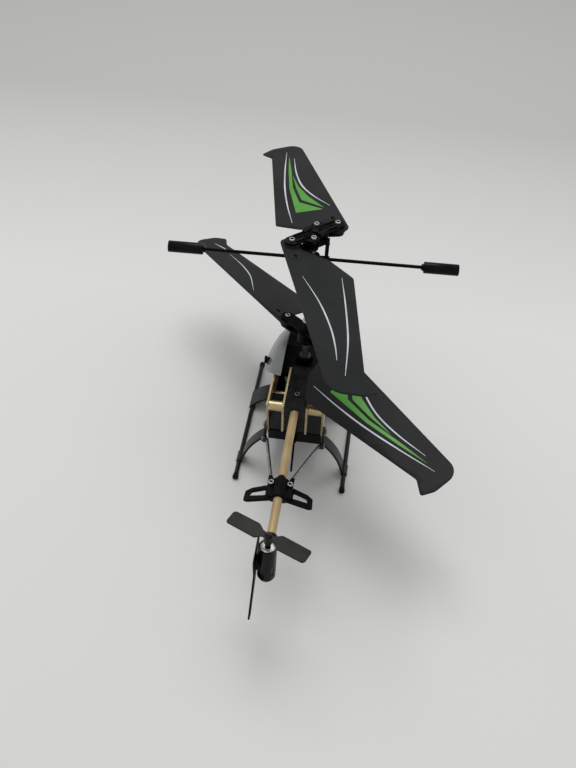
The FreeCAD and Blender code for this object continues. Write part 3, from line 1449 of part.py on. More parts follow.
def build_tail_motor_holder():
    """The round holder at the end of the boom: an upright cup for the motor with a socket for the boom."""
    cup = turned("pod_cup", (
        (0, d.pod_bottom),
        (d.pod_radius - 2.4, d.pod_bottom),
        (d.pod_radius - 1.0, d.pod_bottom + 0.7),
        (d.pod_radius, d.pod_bottom + 2.8),
        (d.pod_radius, d.pod_top),
        (0, d.pod_top),
    ), (0, d.pod_along, 0))
    socket = cylinder("pod_socket", d.pod_socket_radius, d.pod_along - d.pod_socket_front,
                      (0, d.pod_socket_front, d.boom_height), ALONG)
    solid = fuse("pod_solid", cup, socket)
    bore = cylinder("pod_bore_way", d.pod_bore, d.pod_top - d.pod_floor, (0, d.pod_along, d.pod_floor))
    boom_way = cylinder("pod_boom_way", d.boom_radius, d.boom_rear - d.pod_socket_front,
                        (0, d.pod_socket_front, d.boom_height), ALONG)
    slots = []
    for row in range(3):
        along = d.pod_along + (row - 1) * 3
        slots.append(box(f"pod_slot_{row}", (-d.pod_radius - 1, along - d.pod_slot_half / 2, d.pod_slot_bottom),
                         (d.pod_radius + 1, along + d.pod_slot_half / 2, d.pod_slot_top - 3)))
    node(cut("pod", solid, bore, boom_way, *slots), "tail_motor_holder")


def build_tail_motor():
    """The small motor that stands in the holder."""
    can = turned("tail_can", (
        (d.tail_shaft_radius + d.running_fit, d.pod_floor + 3),
        (d.tail_motor_radius, d.pod_floor + 3),
        (d.tail_motor_radius, d.tail_motor_top - 0.5),
        (d.tail_motor_radius - 0.5, d.tail_motor_top),
        (d.tail_shaft_radius + d.running_fit, d.tail_motor_top),
    ), (0, d.pod_along, 0))
    base = cylinder("tail_can_base", d.tail_motor_radius, 3, (0, d.pod_along, d.pod_floor))
    node(fuse("tail_motor_solid", base, can), "tail_motor")


def build_tail_rotor():
    """The two-bladed tail rotor on its motor shaft."""
    hub = turned("tail_hub", (
        (0, d.tail_hub_bottom),
        (d.tail_hub_radius - 0.6, d.tail_hub_bottom),
        (d.tail_hub_radius, d.tail_hub_bottom + 0.8),
        (d.tail_hub_radius, d.tail_hub_top - 1.4),
        (d.tail_hub_radius - 0.9, d.tail_hub_top),
        (0, d.tail_hub_top),
    ), (0, d.pod_along, 0))
    shaft = cylinder("tail_shaft", d.tail_shaft_radius, d.tail_hub_bottom + 1 - d.tail_motor_top + 8,
                     (0, d.pod_along, d.tail_motor_top - 8))
    blades = []
    for index, turn in enumerate((0, 180)):
        outline = rounded_wire((
            (1.0, -1.5, 0.2),
            (4.2, -1.9, 1.5),
            (8.0, -d.tail_blade_half_width.number, 1.5),
            (d.tail_blade_tip.number, -d.tail_blade_half_width.number + 0.3, 2.0),
            (d.tail_blade_tip.number - 0.6, d.tail_blade_half_width.number, 1.4),
            (5.6, d.tail_blade_half_width.number, 1.8),
            (3.0, 1.7, 1.0),
            (1.0, 1.5, 0.2),
        ))
        sheet = Part.Face(outline).extrude(Vector(0, 0, d.tail_blade_thick.number))
        sheet.translate(Vector(0, 0, -d.tail_blade_thick.number / 2))
        sheet.rotate(Vector(), ACROSS, d.tail_blade_pitch.number)
        base = Vector(0, d.pod_along.number, d.tail_blade_height.number)
        blades.append(feature(f"tail_blade_{index}", sheet, base, d.tail_rotor_azimuth.number + turn))
    node(fuse("tail_rotor_solid", hub, shaft, *blades), "tail_rotor")


def build_fin():
    """The swept upright fin on the left of the motor holder."""
    outline = (
        (150.4, 56.6),
        (152.6, 58.4),
        (168.6, 57.0),
        (164.2, 41.2),
        (178.6, 23.8),
        (172.6, 21.6),
        (155.6, 39.4),
    )
    sheet = padded("fin_sheet", "YZ_Plane", outline, d.fin_face, d.fin_thick, rounds=1.0)
    pad = box("fin_pad", (0, d.pod_along - 2.4, 45), (d.fin_face, d.pod_along + 2.4, 52))
    pod = cylinder("fin_pod_room", d.pod_radius, 20, (0, d.pod_along, 40))
    node(fuse("fin", sheet, cut("fin_pad_cut", pad, pod)), "tail_fin")


# ---------------------------------------------------------------- canopy and antenna

def canopy_section(along, shrink):
    """The upright ellipse of the canopy at one place along the body, drawn in by shrink."""
    nose = d.canopy_nose.number
    forward = max(-along, 0.0) / -nose
    rearward = max(along, 0.0) / 75.0
    full = (1 - forward ** 2.2) ** (1 / 2.2) * (1 - rearward ** 2)
    half = d.canopy_half.number * full - shrink
    high = d.canopy_half_high.number * full - shrink
    middle = d.canopy_mid_height.number - d.canopy_nose_drop.number * forward ** 1.5
    centre = Vector(0, along, middle)
    ellipse = Part.Ellipse(centre + Vector(0, 0, high), centre + Vector(half, 0, 0), centre)
    return Part.Wire(ellipse.toShape())


def canopy_body(shrink):
    """The canopy as a solid, drawn in by shrink."""
    front = d.canopy_front.number + shrink
    rear = d.canopy_rear.number + shrink
    places = [front, -58.5, -52.0, -42.0, -28.0, -12.0, 4.0, rear]
    return Part.makeLoft([canopy_section(place, shrink) for place in places], True, False)


def build_canopy():
    """Two thin shells that meet on the centre line, open below, behind and round the mast."""
    shell = canopy_body(0.0).cut(canopy_body(d.canopy_wall.number))
    half = d.canopy_slot_half.number
    front = d.canopy_slot_front.number
    slot = Part.makeBox(2 * half, 120, 60, Vector(-half, front, d.canopy_mid_height.number))
    slot = slot.fuse(Part.makeCylinder(half, 60, Vector(0, front, d.canopy_mid_height.number)))
    shell = shell.cut(slot)
    slope = math.degrees(math.atan(d.canopy_edge_slope.number))
    below = Part.makeBox(120, 240, 120, Vector(-60, -120, -120))
    below.rotate(Vector(), ACROSS, slope)
    below.translate(Vector(0, 0, d.canopy_edge_height.number))
    shell = shell.cut(below)
    height = d.canopy_post_height.number
    shell = shell.cut(Part.makeCylinder(d.grommet_neck_radius.number, 80, Vector(-40, 0, height), ACROSS))
    for side, sign in (("left", 1), ("right", -1)):
        start = 0.05 if sign > 0 else -60.05
        keep = Part.makeBox(60, 200, 120, Vector(start, -100, 0))
        part = shell.common(keep)
        node(feature(f"canopy_{side}_shell", max(part.Solids, key=lambda solid: solid.Volume)),
             f"canopy_{side}")


def build_canopy_mounts():
    """The two side posts that carry the canopy and the rubber grommets on them."""
    posts = []
    grommets = []
    height = d.canopy_post_height
    for side, sign in (("left", 1), ("right", -1)):
        axis = ACROSS * sign
        posts.append(cylinder(f"post_{side}", d.canopy_post_radius, d.canopy_post_end - d.outer_plate_face,
                              (d.outer_plate_face * sign, 0, height), axis))
        neck = cylinder(f"grommet_neck_{side}", d.grommet_neck_radius, d.grommet_out - d.grommet_in,
                        (d.grommet_in * sign, 0, height), axis)
        flange = cylinder(f"grommet_flange_{side}", d.grommet_radius, d.grommet_end - d.grommet_out,
                          (d.grommet_out * sign, 0, height), axis)
        way = cylinder(f"grommet_way_{side}", d.canopy_post_radius, d.grommet_end - d.grommet_in,
                       (d.grommet_in * sign, 0, height), axis)
        grommets.append(cut(f"grommet_{side}", fuse(f"grommet_solid_{side}", neck, flange), way))
    node(group("post_pair", posts), "canopy_posts")
    node(group("grommet_pair", grommets), "canopy_grommets")


def build_antenna():
    """The short stiff antenna that points back from under the boom."""
    slant = (d.housing_rear_top - d.housing_rear_bottom) / (d.housing_step - d.housing_bottom)
    along = d.housing_rear_bottom + slant * (d.antenna_height - d.housing_bottom)
    start = Vector(d.antenna_across.number, along.number, d.antenna_height.number)
    heading = Vector(d.antenna_drift.number, d.antenna_length.number, d.antenna_rise.number)
    rod = Part.makeCylinder(d.antenna_radius.number, heading.Length, start, heading)
    base = Part.makeCylinder(d.antenna_radius.number * 2.2, 4, start, heading)
    back = Part.makeBox(60, 60, 60, Vector(-30, -60, -30))
    back.rotate(Vector(), ACROSS, -math.degrees(math.atan(slant.number)))
    back.translate(start)
    node(feature("antenna_rod", rod.fuse(base).cut(back).removeSplitter()), "antenna")


def build_all():
    """Build every sub-part."""
    build_skids()
    build_legs()
    build_plates()
    build_spacers()
    build_screws()
    build_housing()
    build_battery()
    build_switch()
    build_electronics_case()
    build_boom_holder()
    build_decks()
    build_bearings()
    build_motors()
    build_gears()
    build_shafts()
    build_lower_head()
    build_upper_head()
    build_flybar()
    build_blades()
    build_boom()
    build_clamp()
    build_struts()
    build_tail_motor_holder()
    build_tail_motor()
    build_tail_rotor()
    build_fin()
    build_canopy()
    build_canopy_mounts()
    build_antenna()
    DOC.recompute()


def write_parts():
    """Check every sub-part and write it to its own file."""
    os.makedirs("parts", exist_ok=True)
    for thing in NODES:
        if "Invalid" in thing.State or "Error" in thing.State:
            raise RuntimeError(f"{thing.Label} did not compute")
        shape = thing.Shape
        if shape.isNull() or not shape.isValid() or not shape.Solids:
            raise RuntimeError(f"{thing.Label} has no valid solid")
        shape.exportStep(f"parts/{thing.Label}.step")


build_all()
write_parts()
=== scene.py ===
import json
import logging
import math
from dataclasses import dataclass, field, replace
from enum import Enum
from typing import Iterable, Sequence

import bmesh
import bpy
from mathutils import Matrix, Vector, geometry


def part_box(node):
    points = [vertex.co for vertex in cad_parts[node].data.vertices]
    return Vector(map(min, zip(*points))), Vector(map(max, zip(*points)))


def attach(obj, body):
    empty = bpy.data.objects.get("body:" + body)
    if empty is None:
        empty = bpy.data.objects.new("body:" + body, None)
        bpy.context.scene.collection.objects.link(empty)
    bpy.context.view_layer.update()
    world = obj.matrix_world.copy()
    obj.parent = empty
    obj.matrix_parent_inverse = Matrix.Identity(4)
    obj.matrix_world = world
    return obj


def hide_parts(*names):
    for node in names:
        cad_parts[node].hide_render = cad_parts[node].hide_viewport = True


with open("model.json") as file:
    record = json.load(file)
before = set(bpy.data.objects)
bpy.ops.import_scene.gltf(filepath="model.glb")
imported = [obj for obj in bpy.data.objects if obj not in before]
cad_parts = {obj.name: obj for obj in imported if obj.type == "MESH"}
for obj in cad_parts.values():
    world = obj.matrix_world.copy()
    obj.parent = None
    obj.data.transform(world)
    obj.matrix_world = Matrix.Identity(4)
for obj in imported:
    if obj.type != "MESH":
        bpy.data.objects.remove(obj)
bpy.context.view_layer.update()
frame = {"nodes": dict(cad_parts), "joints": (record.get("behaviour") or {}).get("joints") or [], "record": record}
log = logging.getLogger("helicopter")

MM = 0.001             # a millimetre, in the metres that everything is built in
WELD = 1e-6            # corners nearer than this are one corner
SMOOTH_TURN = 35.0     # an edge that turns by fewer degrees than this is shaded smooth
SHARP_TURN = 40.0      # an edge that turns by more degrees than this is rounded off
FLAT_TURN = 1.5        # faces that differ by fewer degrees than this become one face
VOLUME_SLACK = 0.06    # the share of a solid's volume that rounding its edges may change
FACETS = 48            # the facets round a turned piece
RUBBED_AND_LIT = (0.53, 0.62)  # the pointiness at which an edge starts to brighten, and is brightest: scuffing and a painted highlight
TIP_SHARE = 0.12       # how blunt a printed line's ends are
TAPER = 0.6            # how soon a printed line narrows towards them
UP = Vector((0, 0, 1))
SIDES = ("left", "right")
BODY_OF = {node: body for body, nodes in frame["record"]["behaviour"]["bodies"].items() for node in nodes}
JOINTS = {joint["name"]: joint for joint in frame["joints"]}

Colour = tuple[float, float, float, float]
Point = tuple[float, float]
Shape = bmesh.types.BMesh
Corner = bmesh.types.BMVert
Piece = bpy.types.Object
Socket = bpy.types.NodeSocket
Layers = tuple[Socket, Socket]


# ---------------------------------------------------------------- finishes

def tone(red: int, green: int, blue: int) -> Colour:
    """Turns a display colour into the linear colour that a shader takes.

    Args:
        red: The red part, from 0 to 255.
        green: The green part, from 0 to 255.
        blue: The blue part, from 0 to 255.

    Returns:
        The linear colour, with an alpha of 1.
    """
    linear = []
    for part in (red, green, blue):
        share = part / 255
        linear.append(share / 12.92 if share <= 0.04045 else ((share + 0.055) / 1.055) ** 2.4)
    return (*linear, 1.0)


class Grain(Enum):
    """The way that the fine marks of a surface run, as the stretch of their pattern."""

    MOULDED = (1.0, 1.0, 1.0)
    ALONG_Y = (1.0, 0.05, 1.0)
    ROUND_Z = (0.08, 0.08, 1.0)
    ROUND_X = (1.0, 0.08, 0.08)


class ShaderSheet:
    """A material and short calls for the nodes that a finish is made of."""

    def __init__(self, name: str) -> None:
        """Starts a material with its plain shader.

        Args:
            name: The material's name.
        """
        self.material = bpy.data.materials.new(name)
        self.material.use_nodes = True
        self.tree = self.material.node_tree
        self.shader = self.tree.nodes["Principled BSDF"]

    def node(self, kind: str, sockets: dict | None = None, **settings: object) -> bpy.types.ShaderNode:
        """Adds a node.

        Args:
            kind: The node's type, without its ShaderNode prefix.
            sockets: What each input gets, by its name or number: a value or another node's output.
            settings: The node's own settings.

        Returns:
            The new node.
        """
        made = self.tree.nodes.new("ShaderNode" + kind)
        for key, value in settings.items():
            setattr(made, key, value)
        for key, value in (sockets or {}).items():
            self.feed(made.inputs[key], value)
        return made

    def feed(self, socket: Socket, value: object) -> None:
        """Links an output to a socket, or sets the socket's own value.

        Args:
            socket: The socket.
            value: The output or the value.
        """
        if isinstance(value, Socket):
            self.tree.links.new(value, socket)
        else:
            socket.default_value = value

    def place(self) -> Socket:
        """Gives the place on the piece, which moves with it."""
        return self.node("TexCoord").outputs["Object"]

    def stretched(self, place: Socket, stretch: Sequence[float]) -> Socket:
        """Gives a place stretched along each axis."""
        return self.node("Mapping", {"Vector": place, "Scale": tuple(stretch)}).outputs[0]

    def noise(self, place: Socket, size: float, detail: float = 2.0) -> Socket:
        """Gives a soft noise whose spots are about size across."""
        return self.node("TexNoise", {"Vector": place, "Scale": 1 / size, "Detail": detail}).outputs[0]

    def cells(self, place: Socket, size: float) -> Socket:
        """Gives one random shade per cell of about that size."""
        return self.node("TexVoronoi", {"Vector": place, "Scale": 1 / size}).outputs["Color"]

    def spread(self, value: Socket, low: float, high: float, start: float = 0.35, end: float = 0.65) -> Socket:
        """Spreads the part of a value between start and end over low to high."""
        sockets = {"Value": value, "From Min": start, "From Max": end, "To Min": low, "To Max": high}
        return self.node("MapRange", sockets).outputs[0]

    def blend(self, share: object, first: object, second: object) -> Socket:
        """Mixes two colours by a share."""
        return self.node("Mix", {0: share, 6: first, 7: second}, data_type="RGBA").outputs[2]

    def maths(self, how: str, first: object, second: object) -> Socket:
        """Gives one sum, product or other result of two numbers."""
        return self.node("Math", {0: first, 1: second}, operation=how).outputs[0]

    def bump(self, height: Socket, depth: float) -> Socket:
        """Gives the surface direction over a relief of that depth."""
        return self.node("Bump", {"Height": height, "Distance": depth, "Strength": 1.0}).outputs[0]


@dataclass(frozen=True)
class Finish:
    """A surface finish: its colour, gloss and fine relief.

    Attributes:
        name: The finish's own name, and its material's.
        slot: The record's material slot that it is meant for; not used.
        colour: The main colour.
        drift: The colour that the main one drifts towards in soft clouds.
        roughness: The mean roughness.
        unevenness: How far the roughness wanders each way.
        metallic: 1 for bare metal, 0 for plastic and paint.
        grain: The way that the fine marks run.
        grain_size: How far apart the fine marks are.
        grain_depth: How deep they are.
        cloud: How large the soft clouds are.
        edge_wear_and_highlight: How much the edges are brightened, from 0 to 1, as scuffing and as a painted
            highlight where they catch the light.
        worn_and_lit_edge: The colour of brightened edges, scuffed and painted as lit.
        coat: The strength of a clear gloss coat.
        gloss: How strongly a plain surface mirrors at its face.
    """

    name: str
    slot: str
    colour: Colour
    drift: Colour
    roughness: float = 0.45
    unevenness: float = 0.07
    metallic: float = 0.0
    grain: Grain = Grain.MOULDED
    grain_size: float = 0.35 * MM
    grain_depth: float = 0.012 * MM
    cloud: float = 9.0 * MM
    edge_wear_and_highlight: float = 0.0
    worn_and_lit_edge: Colour = (0.3, 0.3, 0.3, 1.0)
    coat: float = 0.0
    gloss: float = 0.5

    def material(self) -> bpy.types.Material:
        """Gives the finish's material, made the first time that it is asked for."""
        return bpy.data.materials.get(self.name) or self.make()

    def make(self) -> bpy.types.Material:
        """Builds the material from its clouds, grain, brightened edges and pattern; the edges show scuffing and a
        painted highlight.

        Returns:
            The material.
        """
        sheet = ShaderSheet(self.name)
        place = sheet.place()
        cloud = sheet.noise(place, self.cloud, 4.0)
        marks = sheet.noise(sheet.stretched(place, self.grain.value), self.grain_size, 3.0)
        colour = sheet.blend(sheet.spread(cloud, 0.0, 1.0), self.colour, self.drift)
        colour, height = self.pattern(sheet, place, colour, marks)
        rough = sheet.spread(marks, self.roughness - self.unevenness, self.roughness + self.unevenness)
        normal = sheet.bump(height, self.grain_depth)
        # Brightens pointy edges: partly scuffing, partly a painted highlight where edges catch the light.
        if self.edge_wear_and_highlight:
            rim = sheet.node("NewGeometry").outputs["Pointiness"]
            rubbed_and_lit = sheet.spread(rim, 0.0, self.edge_wear_and_highlight, *RUBBED_AND_LIT)
            rubbed_and_lit = sheet.maths("MULTIPLY", rubbed_and_lit, sheet.spread(cloud, 0.3, 1.0))
            colour = sheet.blend(rubbed_and_lit, colour, self.worn_and_lit_edge)
        for socket, value in {"Base Color": colour, "Roughness": rough, "Normal": normal,
                              "Metallic": self.metallic, "Coat Weight": self.coat,
                              "Specular IOR Level": self.gloss}.items():
            sheet.feed(sheet.shader.inputs[socket], value)
        return sheet.material

    def pattern(self, sheet: ShaderSheet, place: Socket, colour: Socket, marks: Socket) -> Layers:
        """Lets a finish add its own pattern.

        Args:
            sheet: The material being built.
            place: The place on the piece.
            colour: The clouded colour so far.
            marks: The fine marks.

        Returns:
            The colour and the relief to use.
        """
        return colour, marks


@dataclass(frozen=True)
class Metal(Finish):
    """A bare metal with fine marks round its upright axis."""

    metallic: float = 0.85
    grain: Grain = Grain.ROUND_Z
    grain_size: float = 0.12 * MM
    grain_depth: float = 0.003 * MM


@dataclass(frozen=True)
class FlakePaint(Finish):
    """A metallic paint with fine bright flakes in it."""

    flake: float = 0.22 * MM
    flake_colour: Colour = (0.5, 0.5, 0.5, 1.0)

    def pattern(self, sheet: ShaderSheet, place: Socket, colour: Socket, marks: Socket) -> Layers:
        """Scatters flakes over the paint; see Finish.pattern."""
        share = sheet.spread(sheet.cells(place, self.flake), 0.0, 0.5, 0.45, 1.0)
        return sheet.blend(share, colour, self.flake_colour), marks


@dataclass(frozen=True)
class PrintedBoard(Finish):
    """A lacquered circuit board with pale copper tracks under the lacquer."""

    track: float = 1.1 * MM
    track_colour: Colour = (0.16, 0.42, 0.2, 1.0)

    def pattern(self, sheet: ShaderSheet, place: Socket, colour: Socket, marks: Socket) -> Layers:
        """Draws the tracks as the gaps between square cells; see Finish.pattern."""
        cells = sheet.node("TexVoronoi", {"Vector": place, "Scale": 1 / self.track},
                           feature="F2", distance="MANHATTAN").outputs["Distance"]
        share = sheet.spread(cells, 0.0, 1.0, 0.75, 0.85)
        return sheet.blend(share, colour, self.track_colour), cells


@dataclass(frozen=True)
class FoilWrap(Finish):
    """A shrunk foil sleeve with long soft wrinkles."""

    wrinkle: float = 3.0 * MM

    def pattern(self, sheet: ShaderSheet, place: Socket, colour: Socket, marks: Socket) -> Layers:
        """Adds the wrinkles under the fine marks; see Finish.pattern."""
        folds = sheet.noise(sheet.stretched(place, (1.0, 0.3, 1.0)), self.wrinkle, 1.0)
        return colour, sheet.maths("ADD", folds, sheet.maths("MULTIPLY", marks, 0.1))


@dataclass(frozen=True)
class FloorPaper(Finish):
    """A plain sheet with painted shade that darkens it softly towards its far end."""

    # The colour of the painted shade at the far end.
    far: Colour = (0.4, 0.4, 0.4, 1.0)
    far_end: float = -0.5
    near_end: float = -0.16

    def pattern(self, sheet: ShaderSheet, place: Socket, colour: Socket, marks: Socket) -> Layers:
        """Paints shade on the sheet, darker from its near end to its far end; see Finish.pattern."""
        along = sheet.node("SeparateXYZ", {"Vector": place}).outputs["Y"]
        share = sheet.spread(along, 1.0, 0.0, self.far_end, self.near_end)
        return sheet.blend(share, colour, self.far), marks


BLACK_PLASTIC = Finish("satin black plastic", "black_plastic", tone(4, 4, 5), tone(9, 9, 9), roughness=0.42,
                       edge_wear_and_highlight=0.3, gloss=0.05, worn_and_lit_edge=tone(46, 45, 44))
LEG_PLASTIC = Finish("leg plastic", "black_plastic", tone(20, 20, 20), tone(29, 29, 28), roughness=0.34,
                     edge_wear_and_highlight=0.4, gloss=0.24, worn_and_lit_edge=tone(90, 89, 87))
GLOSS_PLASTIC = Finish("gloss black plastic", "black_gloss", tone(6, 6, 7), tone(11, 11, 12),
                       roughness=0.24, grain_depth=0.005 * MM, edge_wear_and_highlight=0.3, gloss=0.14, worn_and_lit_edge=tone(60, 60, 60))
BLADE_PLASTIC = Finish("blade plastic", "blade_black", tone(30, 31, 32), tone(37, 38, 38), roughness=0.44,
                       unevenness=0.05, grain_size=0.5 * MM, grain_depth=0.006 * MM, cloud=30 * MM,
                       gloss=0.07)
GREEN_BLADE_PLASTIC = replace(BLADE_PLASTIC, name="green-flashed blade plastic", slot="blade_green",
                              colour=tone(30, 31, 31), drift=tone(37, 38, 37))
PRINT_GREEN = Finish("green print", "blade_green", tone(64, 134, 40), tone(80, 148, 54), roughness=0.42,
                     grain_size=0.4 * MM, grain_depth=0.004 * MM, cloud=25 * MM, gloss=0.3)
PRINT_WHITE = Finish("silver white print", "blade_black", tone(200, 203, 208), tone(172, 178, 188),
                     roughness=0.38, grain_size=0.4 * MM, grain_depth=0.004 * MM, cloud=14 * MM, gloss=0.3)
TAIL_PLASTIC = Finish("tail rotor plastic", "tail_blade", tone(27, 27, 26), tone(38, 37, 35),
                      roughness=0.36, grain_depth=0.006 * MM, cloud=7 * MM, gloss=0.12)
PLATE_GOLD = Metal("gold anodised plate", "anodised_plate", tone(204, 184, 142), tone(176, 154, 112),
                   roughness=0.4, metallic=0.7, grain=Grain.ALONG_Y, grain_depth=0.004 * MM, edge_wear_and_highlight=0.5,
                   worn_and_lit_edge=tone(232, 224, 204))
SPACER_GOLD = Finish("turned gold spacer", "spacer_gold", tone(208, 190, 148), tone(178, 158, 114),
                     roughness=0.3, metallic=0.8, grain=Grain.ROUND_X, grain_size=0.14 * MM,
                     grain_depth=0.004 * MM, edge_wear_and_highlight=0.6, worn_and_lit_edge=tone(238, 230, 208))
BOOM_GOLD = Metal("gold anodised boom", "boom_gold", tone(184, 160, 120), tone(168, 144, 106),
                  roughness=0.5, metallic=0.35, grain=Grain.ALONG_Y, cloud=16 * MM, gloss=0.35)
CANOPY_PAINT = FlakePaint("silver-grey canopy paint", "canopy_grey", tone(112, 115, 112), tone(94, 97, 96),
                          roughness=0.32, metallic=0.3, grain_depth=0.003 * MM, cloud=24 * MM, coat=0.3,
                          flake_colour=tone(158, 162, 160))
STEEL = Metal("drawn steel", "steel", tone(150, 150, 152), tone(112, 112, 116), roughness=0.3,
              grain_size=0.15 * MM, cloud=4 * MM)
SCREW_STEEL = Metal("bright screw steel", "screw_steel", tone(186, 187, 190), tone(158, 159, 164),
                    roughness=0.34, metallic=0.9, grain_size=0.1 * MM, edge_wear_and_highlight=0.5, worn_and_lit_edge=tone(226, 226, 228))
# A darker copy of the screw steel, for the frame screws in front of the stabiliser clamp.
DARK_SCREW = Metal("dark screw steel", "screw_steel", tone(92, 92, 95), tone(70, 70, 73), roughness=0.36,
                   grain_size=0.1 * MM, edge_wear_and_highlight=0.4, worn_and_lit_edge=tone(168, 168, 170))
# Painted shade: the dark inside of the screw sockets, drawn dark for their depth.
SOCKET_SHADE = Finish("painted socket shade", "screw_steel", tone(16, 16, 17), tone(28, 28, 30), roughness=0.55,
                      metallic=0.2, grain_size=0.1 * MM, grain_depth=0.003 * MM, gloss=0.2)
BLACK_METAL = Finish("blackened metal", "black_metal", tone(4, 4, 5), tone(8, 8, 9), roughness=0.17,
                     grain=Grain.ROUND_X, grain_size=0.2 * MM, grain_depth=0.001 * MM, edge_wear_and_highlight=0.2, gloss=0.08,
                     worn_and_lit_edge=tone(70, 70, 72))
SKID_ROD = Finish("black skid rod", "black_metal", tone(13, 13, 14), tone(21, 21, 21), roughness=0.4,
                  grain=Grain.ALONG_Y, grain_size=0.16 * MM, grain_depth=0.006 * MM, gloss=0.2)
MOTOR_CAN = Metal("nickelled motor can", "motor_can", tone(206, 205, 198), tone(182, 181, 174),
                  roughness=0.38, metallic=0.6, grain_size=0.2 * MM, edge_wear_and_highlight=0.4, worn_and_lit_edge=tone(236, 236, 232))
GEAR_NYLON = Finish("white gear nylon", "gear_white", tone(226, 226, 218), tone(212, 211, 200),
                    roughness=0.42, grain_depth=0.006 * MM)
COLLAR_PLASTIC = Finish("pale collar plastic", "collar_pale", tone(206, 208, 192), tone(186, 188, 172),
                        roughness=0.4, grain_depth=0.006 * MM)
BRASS = Metal("turned brass", "bush_brass", tone(196, 162, 98), tone(170, 138, 80), roughness=0.32,
              metallic=0.9)
# A darker bronze, for the shaft bushes.
BRONZE = Metal("dark bronze bush", "bush_brass", tone(92, 76, 52), tone(64, 52, 36), roughness=0.42,
               metallic=0.8)
RUBBER = Finish("black rubber", "rubber_black", tone(9, 9, 9), tone(17, 17, 17), roughness=0.66,
                grain_size=0.3 * MM, grain_depth=0.02 * MM, gloss=0.12)
CELL_WRAP = FoilWrap("battery sleeve", "battery_wrap", tone(92, 100, 116), tone(116, 124, 138),
                     roughness=0.3, grain_depth=0.15 * MM, cloud=12 * MM)
BOARD = PrintedBoard("green circuit board", "board_green", tone(20, 92, 46), tone(16, 78, 40),
                     roughness=0.32, grain_depth=0.05 * MM)


# ---------------------------------------------------------------- shapes

def smooth_piece(name: str, shape: Shape, turn: float = SMOOTH_TURN) -> Piece:
    """Makes an object of a finished shape, shaded smooth but for its sharp edges.

    Args:
        name: The piece's name.
        shape: The shape, which is used up.
        turn: The angle in degrees from which an edge stays sharp.

    Returns:
        The object, in the scene.
    """
    mesh = bpy.data.meshes.new(name)
    shape.to_mesh(mesh)
    shape.free()
    mesh.shade_smooth()
    mesh.set_sharp_from_angle(angle=math.radians(turn))
    piece = bpy.data.objects.new(name, mesh)
    bpy.context.scene.collection.objects.link(piece)
    return piece


def closed_piece(name: str, shape: Shape, turn: float = SMOOTH_TURN) -> Piece:
    """Turns a closed shape's faces outwards and makes an object of it; see smooth_piece."""
    bmesh.ops.recalc_face_normals(shape, faces=shape.faces)
    return smooth_piece(name, shape, turn)


def paint(piece: Piece, *finishes: Finish) -> Piece:
    """Gives a piece its materials.

    Args:
        piece: The piece.
        finishes: Its finishes, in the order of its faces' material numbers.

    Returns:
        The piece.
    """
    for finish in finishes:
        piece.data.materials.append(finish.material())
    return piece


def welded(node: str) -> Shape:
    """Copies a CAD node as one closed skin of flat faces.

    Args:
        node: The CAD node.

    Returns:
        The skin.
    """
    shape = bmesh.new()
    shape.from_mesh(frame["nodes"][node].data)
    bmesh.ops.remove_doubles(shape, verts=shape.verts, dist=WELD)
    return shape


def rounded_edges(shape: Shape, width: float, turn: float) -> bool:
    """Rounds the sharp edges of a shape.

    Args:
        shape: The shape to change.
        width: How wide the rounding is.
        turn: The angle in degrees from which an edge counts as sharp.

    Returns:
        Whether the shape is still closed and about as large as before.
    """
    bmesh.ops.dissolve_limit(shape, angle_limit=math.radians(FLAT_TURN), verts=shape.verts, edges=shape.edges)
    before = shape.calc_volume()
    sharp = [edge for edge in shape.edges
             if len(edge.link_faces) == 2 and edge.calc_face_angle() > math.radians(turn)]
    bmesh.ops.bevel(shape, geom=sharp, offset=width, offset_type="OFFSET", segments=2, profile=0.5,
                    affect="EDGES", clamp_overlap=True)
    bmesh.ops.remove_doubles(shape, verts=shape.verts, dist=WELD)
    change = abs(shape.calc_volume() / before - 1)
    return change < VOLUME_SLACK and all(edge.is_manifold for edge in shape.edges)


def softened(node: str, width: float, turn: float = SHARP_TURN) -> Shape:
    """Copies a CAD node with its sharp edges rounded off.

    Args:
        node: The CAD node.
        width: How wide the rounding is.
        turn: The angle in degrees from which an edge counts as sharp.

    Returns:
        The rounded shape, or the plain one where rounding would spoil it.
    """
    shape = welded(node)
    if rounded_edges(shape, width, turn):
        return shape
    log.warning("%s keeps its plain edges", node)
    shape.free()
    return welded(node)


def solids_of(node: str) -> list[list[Vector]]:
    """Takes a CAD node apart into its separate solids.

    Args:
        node: The CAD node.

    Returns:
        The corners of each solid, in the order of the solids' places.
    """
    shape = welded(node)
    left = set(shape.verts)
    groups = []
    while left:
        group = [left.pop()]
        for corner in group:
            near = {edge.other_vert(corner) for edge in corner.link_edges} & left
            left -= near
            group.extend(near)
        groups.append([corner.co.copy() for corner in group])
    shape.free()
    return sorted(groups, key=lambda corners: tuple(min(corners, key=lambda corner: corner.to_tuple())))


def extent(corners: Iterable[Sequence[float]]) -> tuple[Vector, Vector]:
    """Gives the low and the high corner of the box round some corners."""
    rows = list(zip(*corners))
    return Vector([min(row) for row in rows]), Vector([max(row) for row in rows])


@dataclass(frozen=True)
class Ring:
    """One ring of a turned shape.

    Attributes:
        along: Where it lies on the axis.
        radius: Its radius, or the half width across flats where it has flats.
        sides: The number of its flats, or 0 where it is round.
    """

    along: float
    radius: float
    sides: int = 0

    def reach(self, angle: float) -> float:
        """Gives the radius at an angle round the axis.

        Args:
            angle: The angle in radians.

        Returns:
            The radius.
        """
        if not self.sides:
            return self.radius
        sector = math.tau / self.sides
        return self.radius / math.cos((angle + sector / 2) % sector - sector / 2)


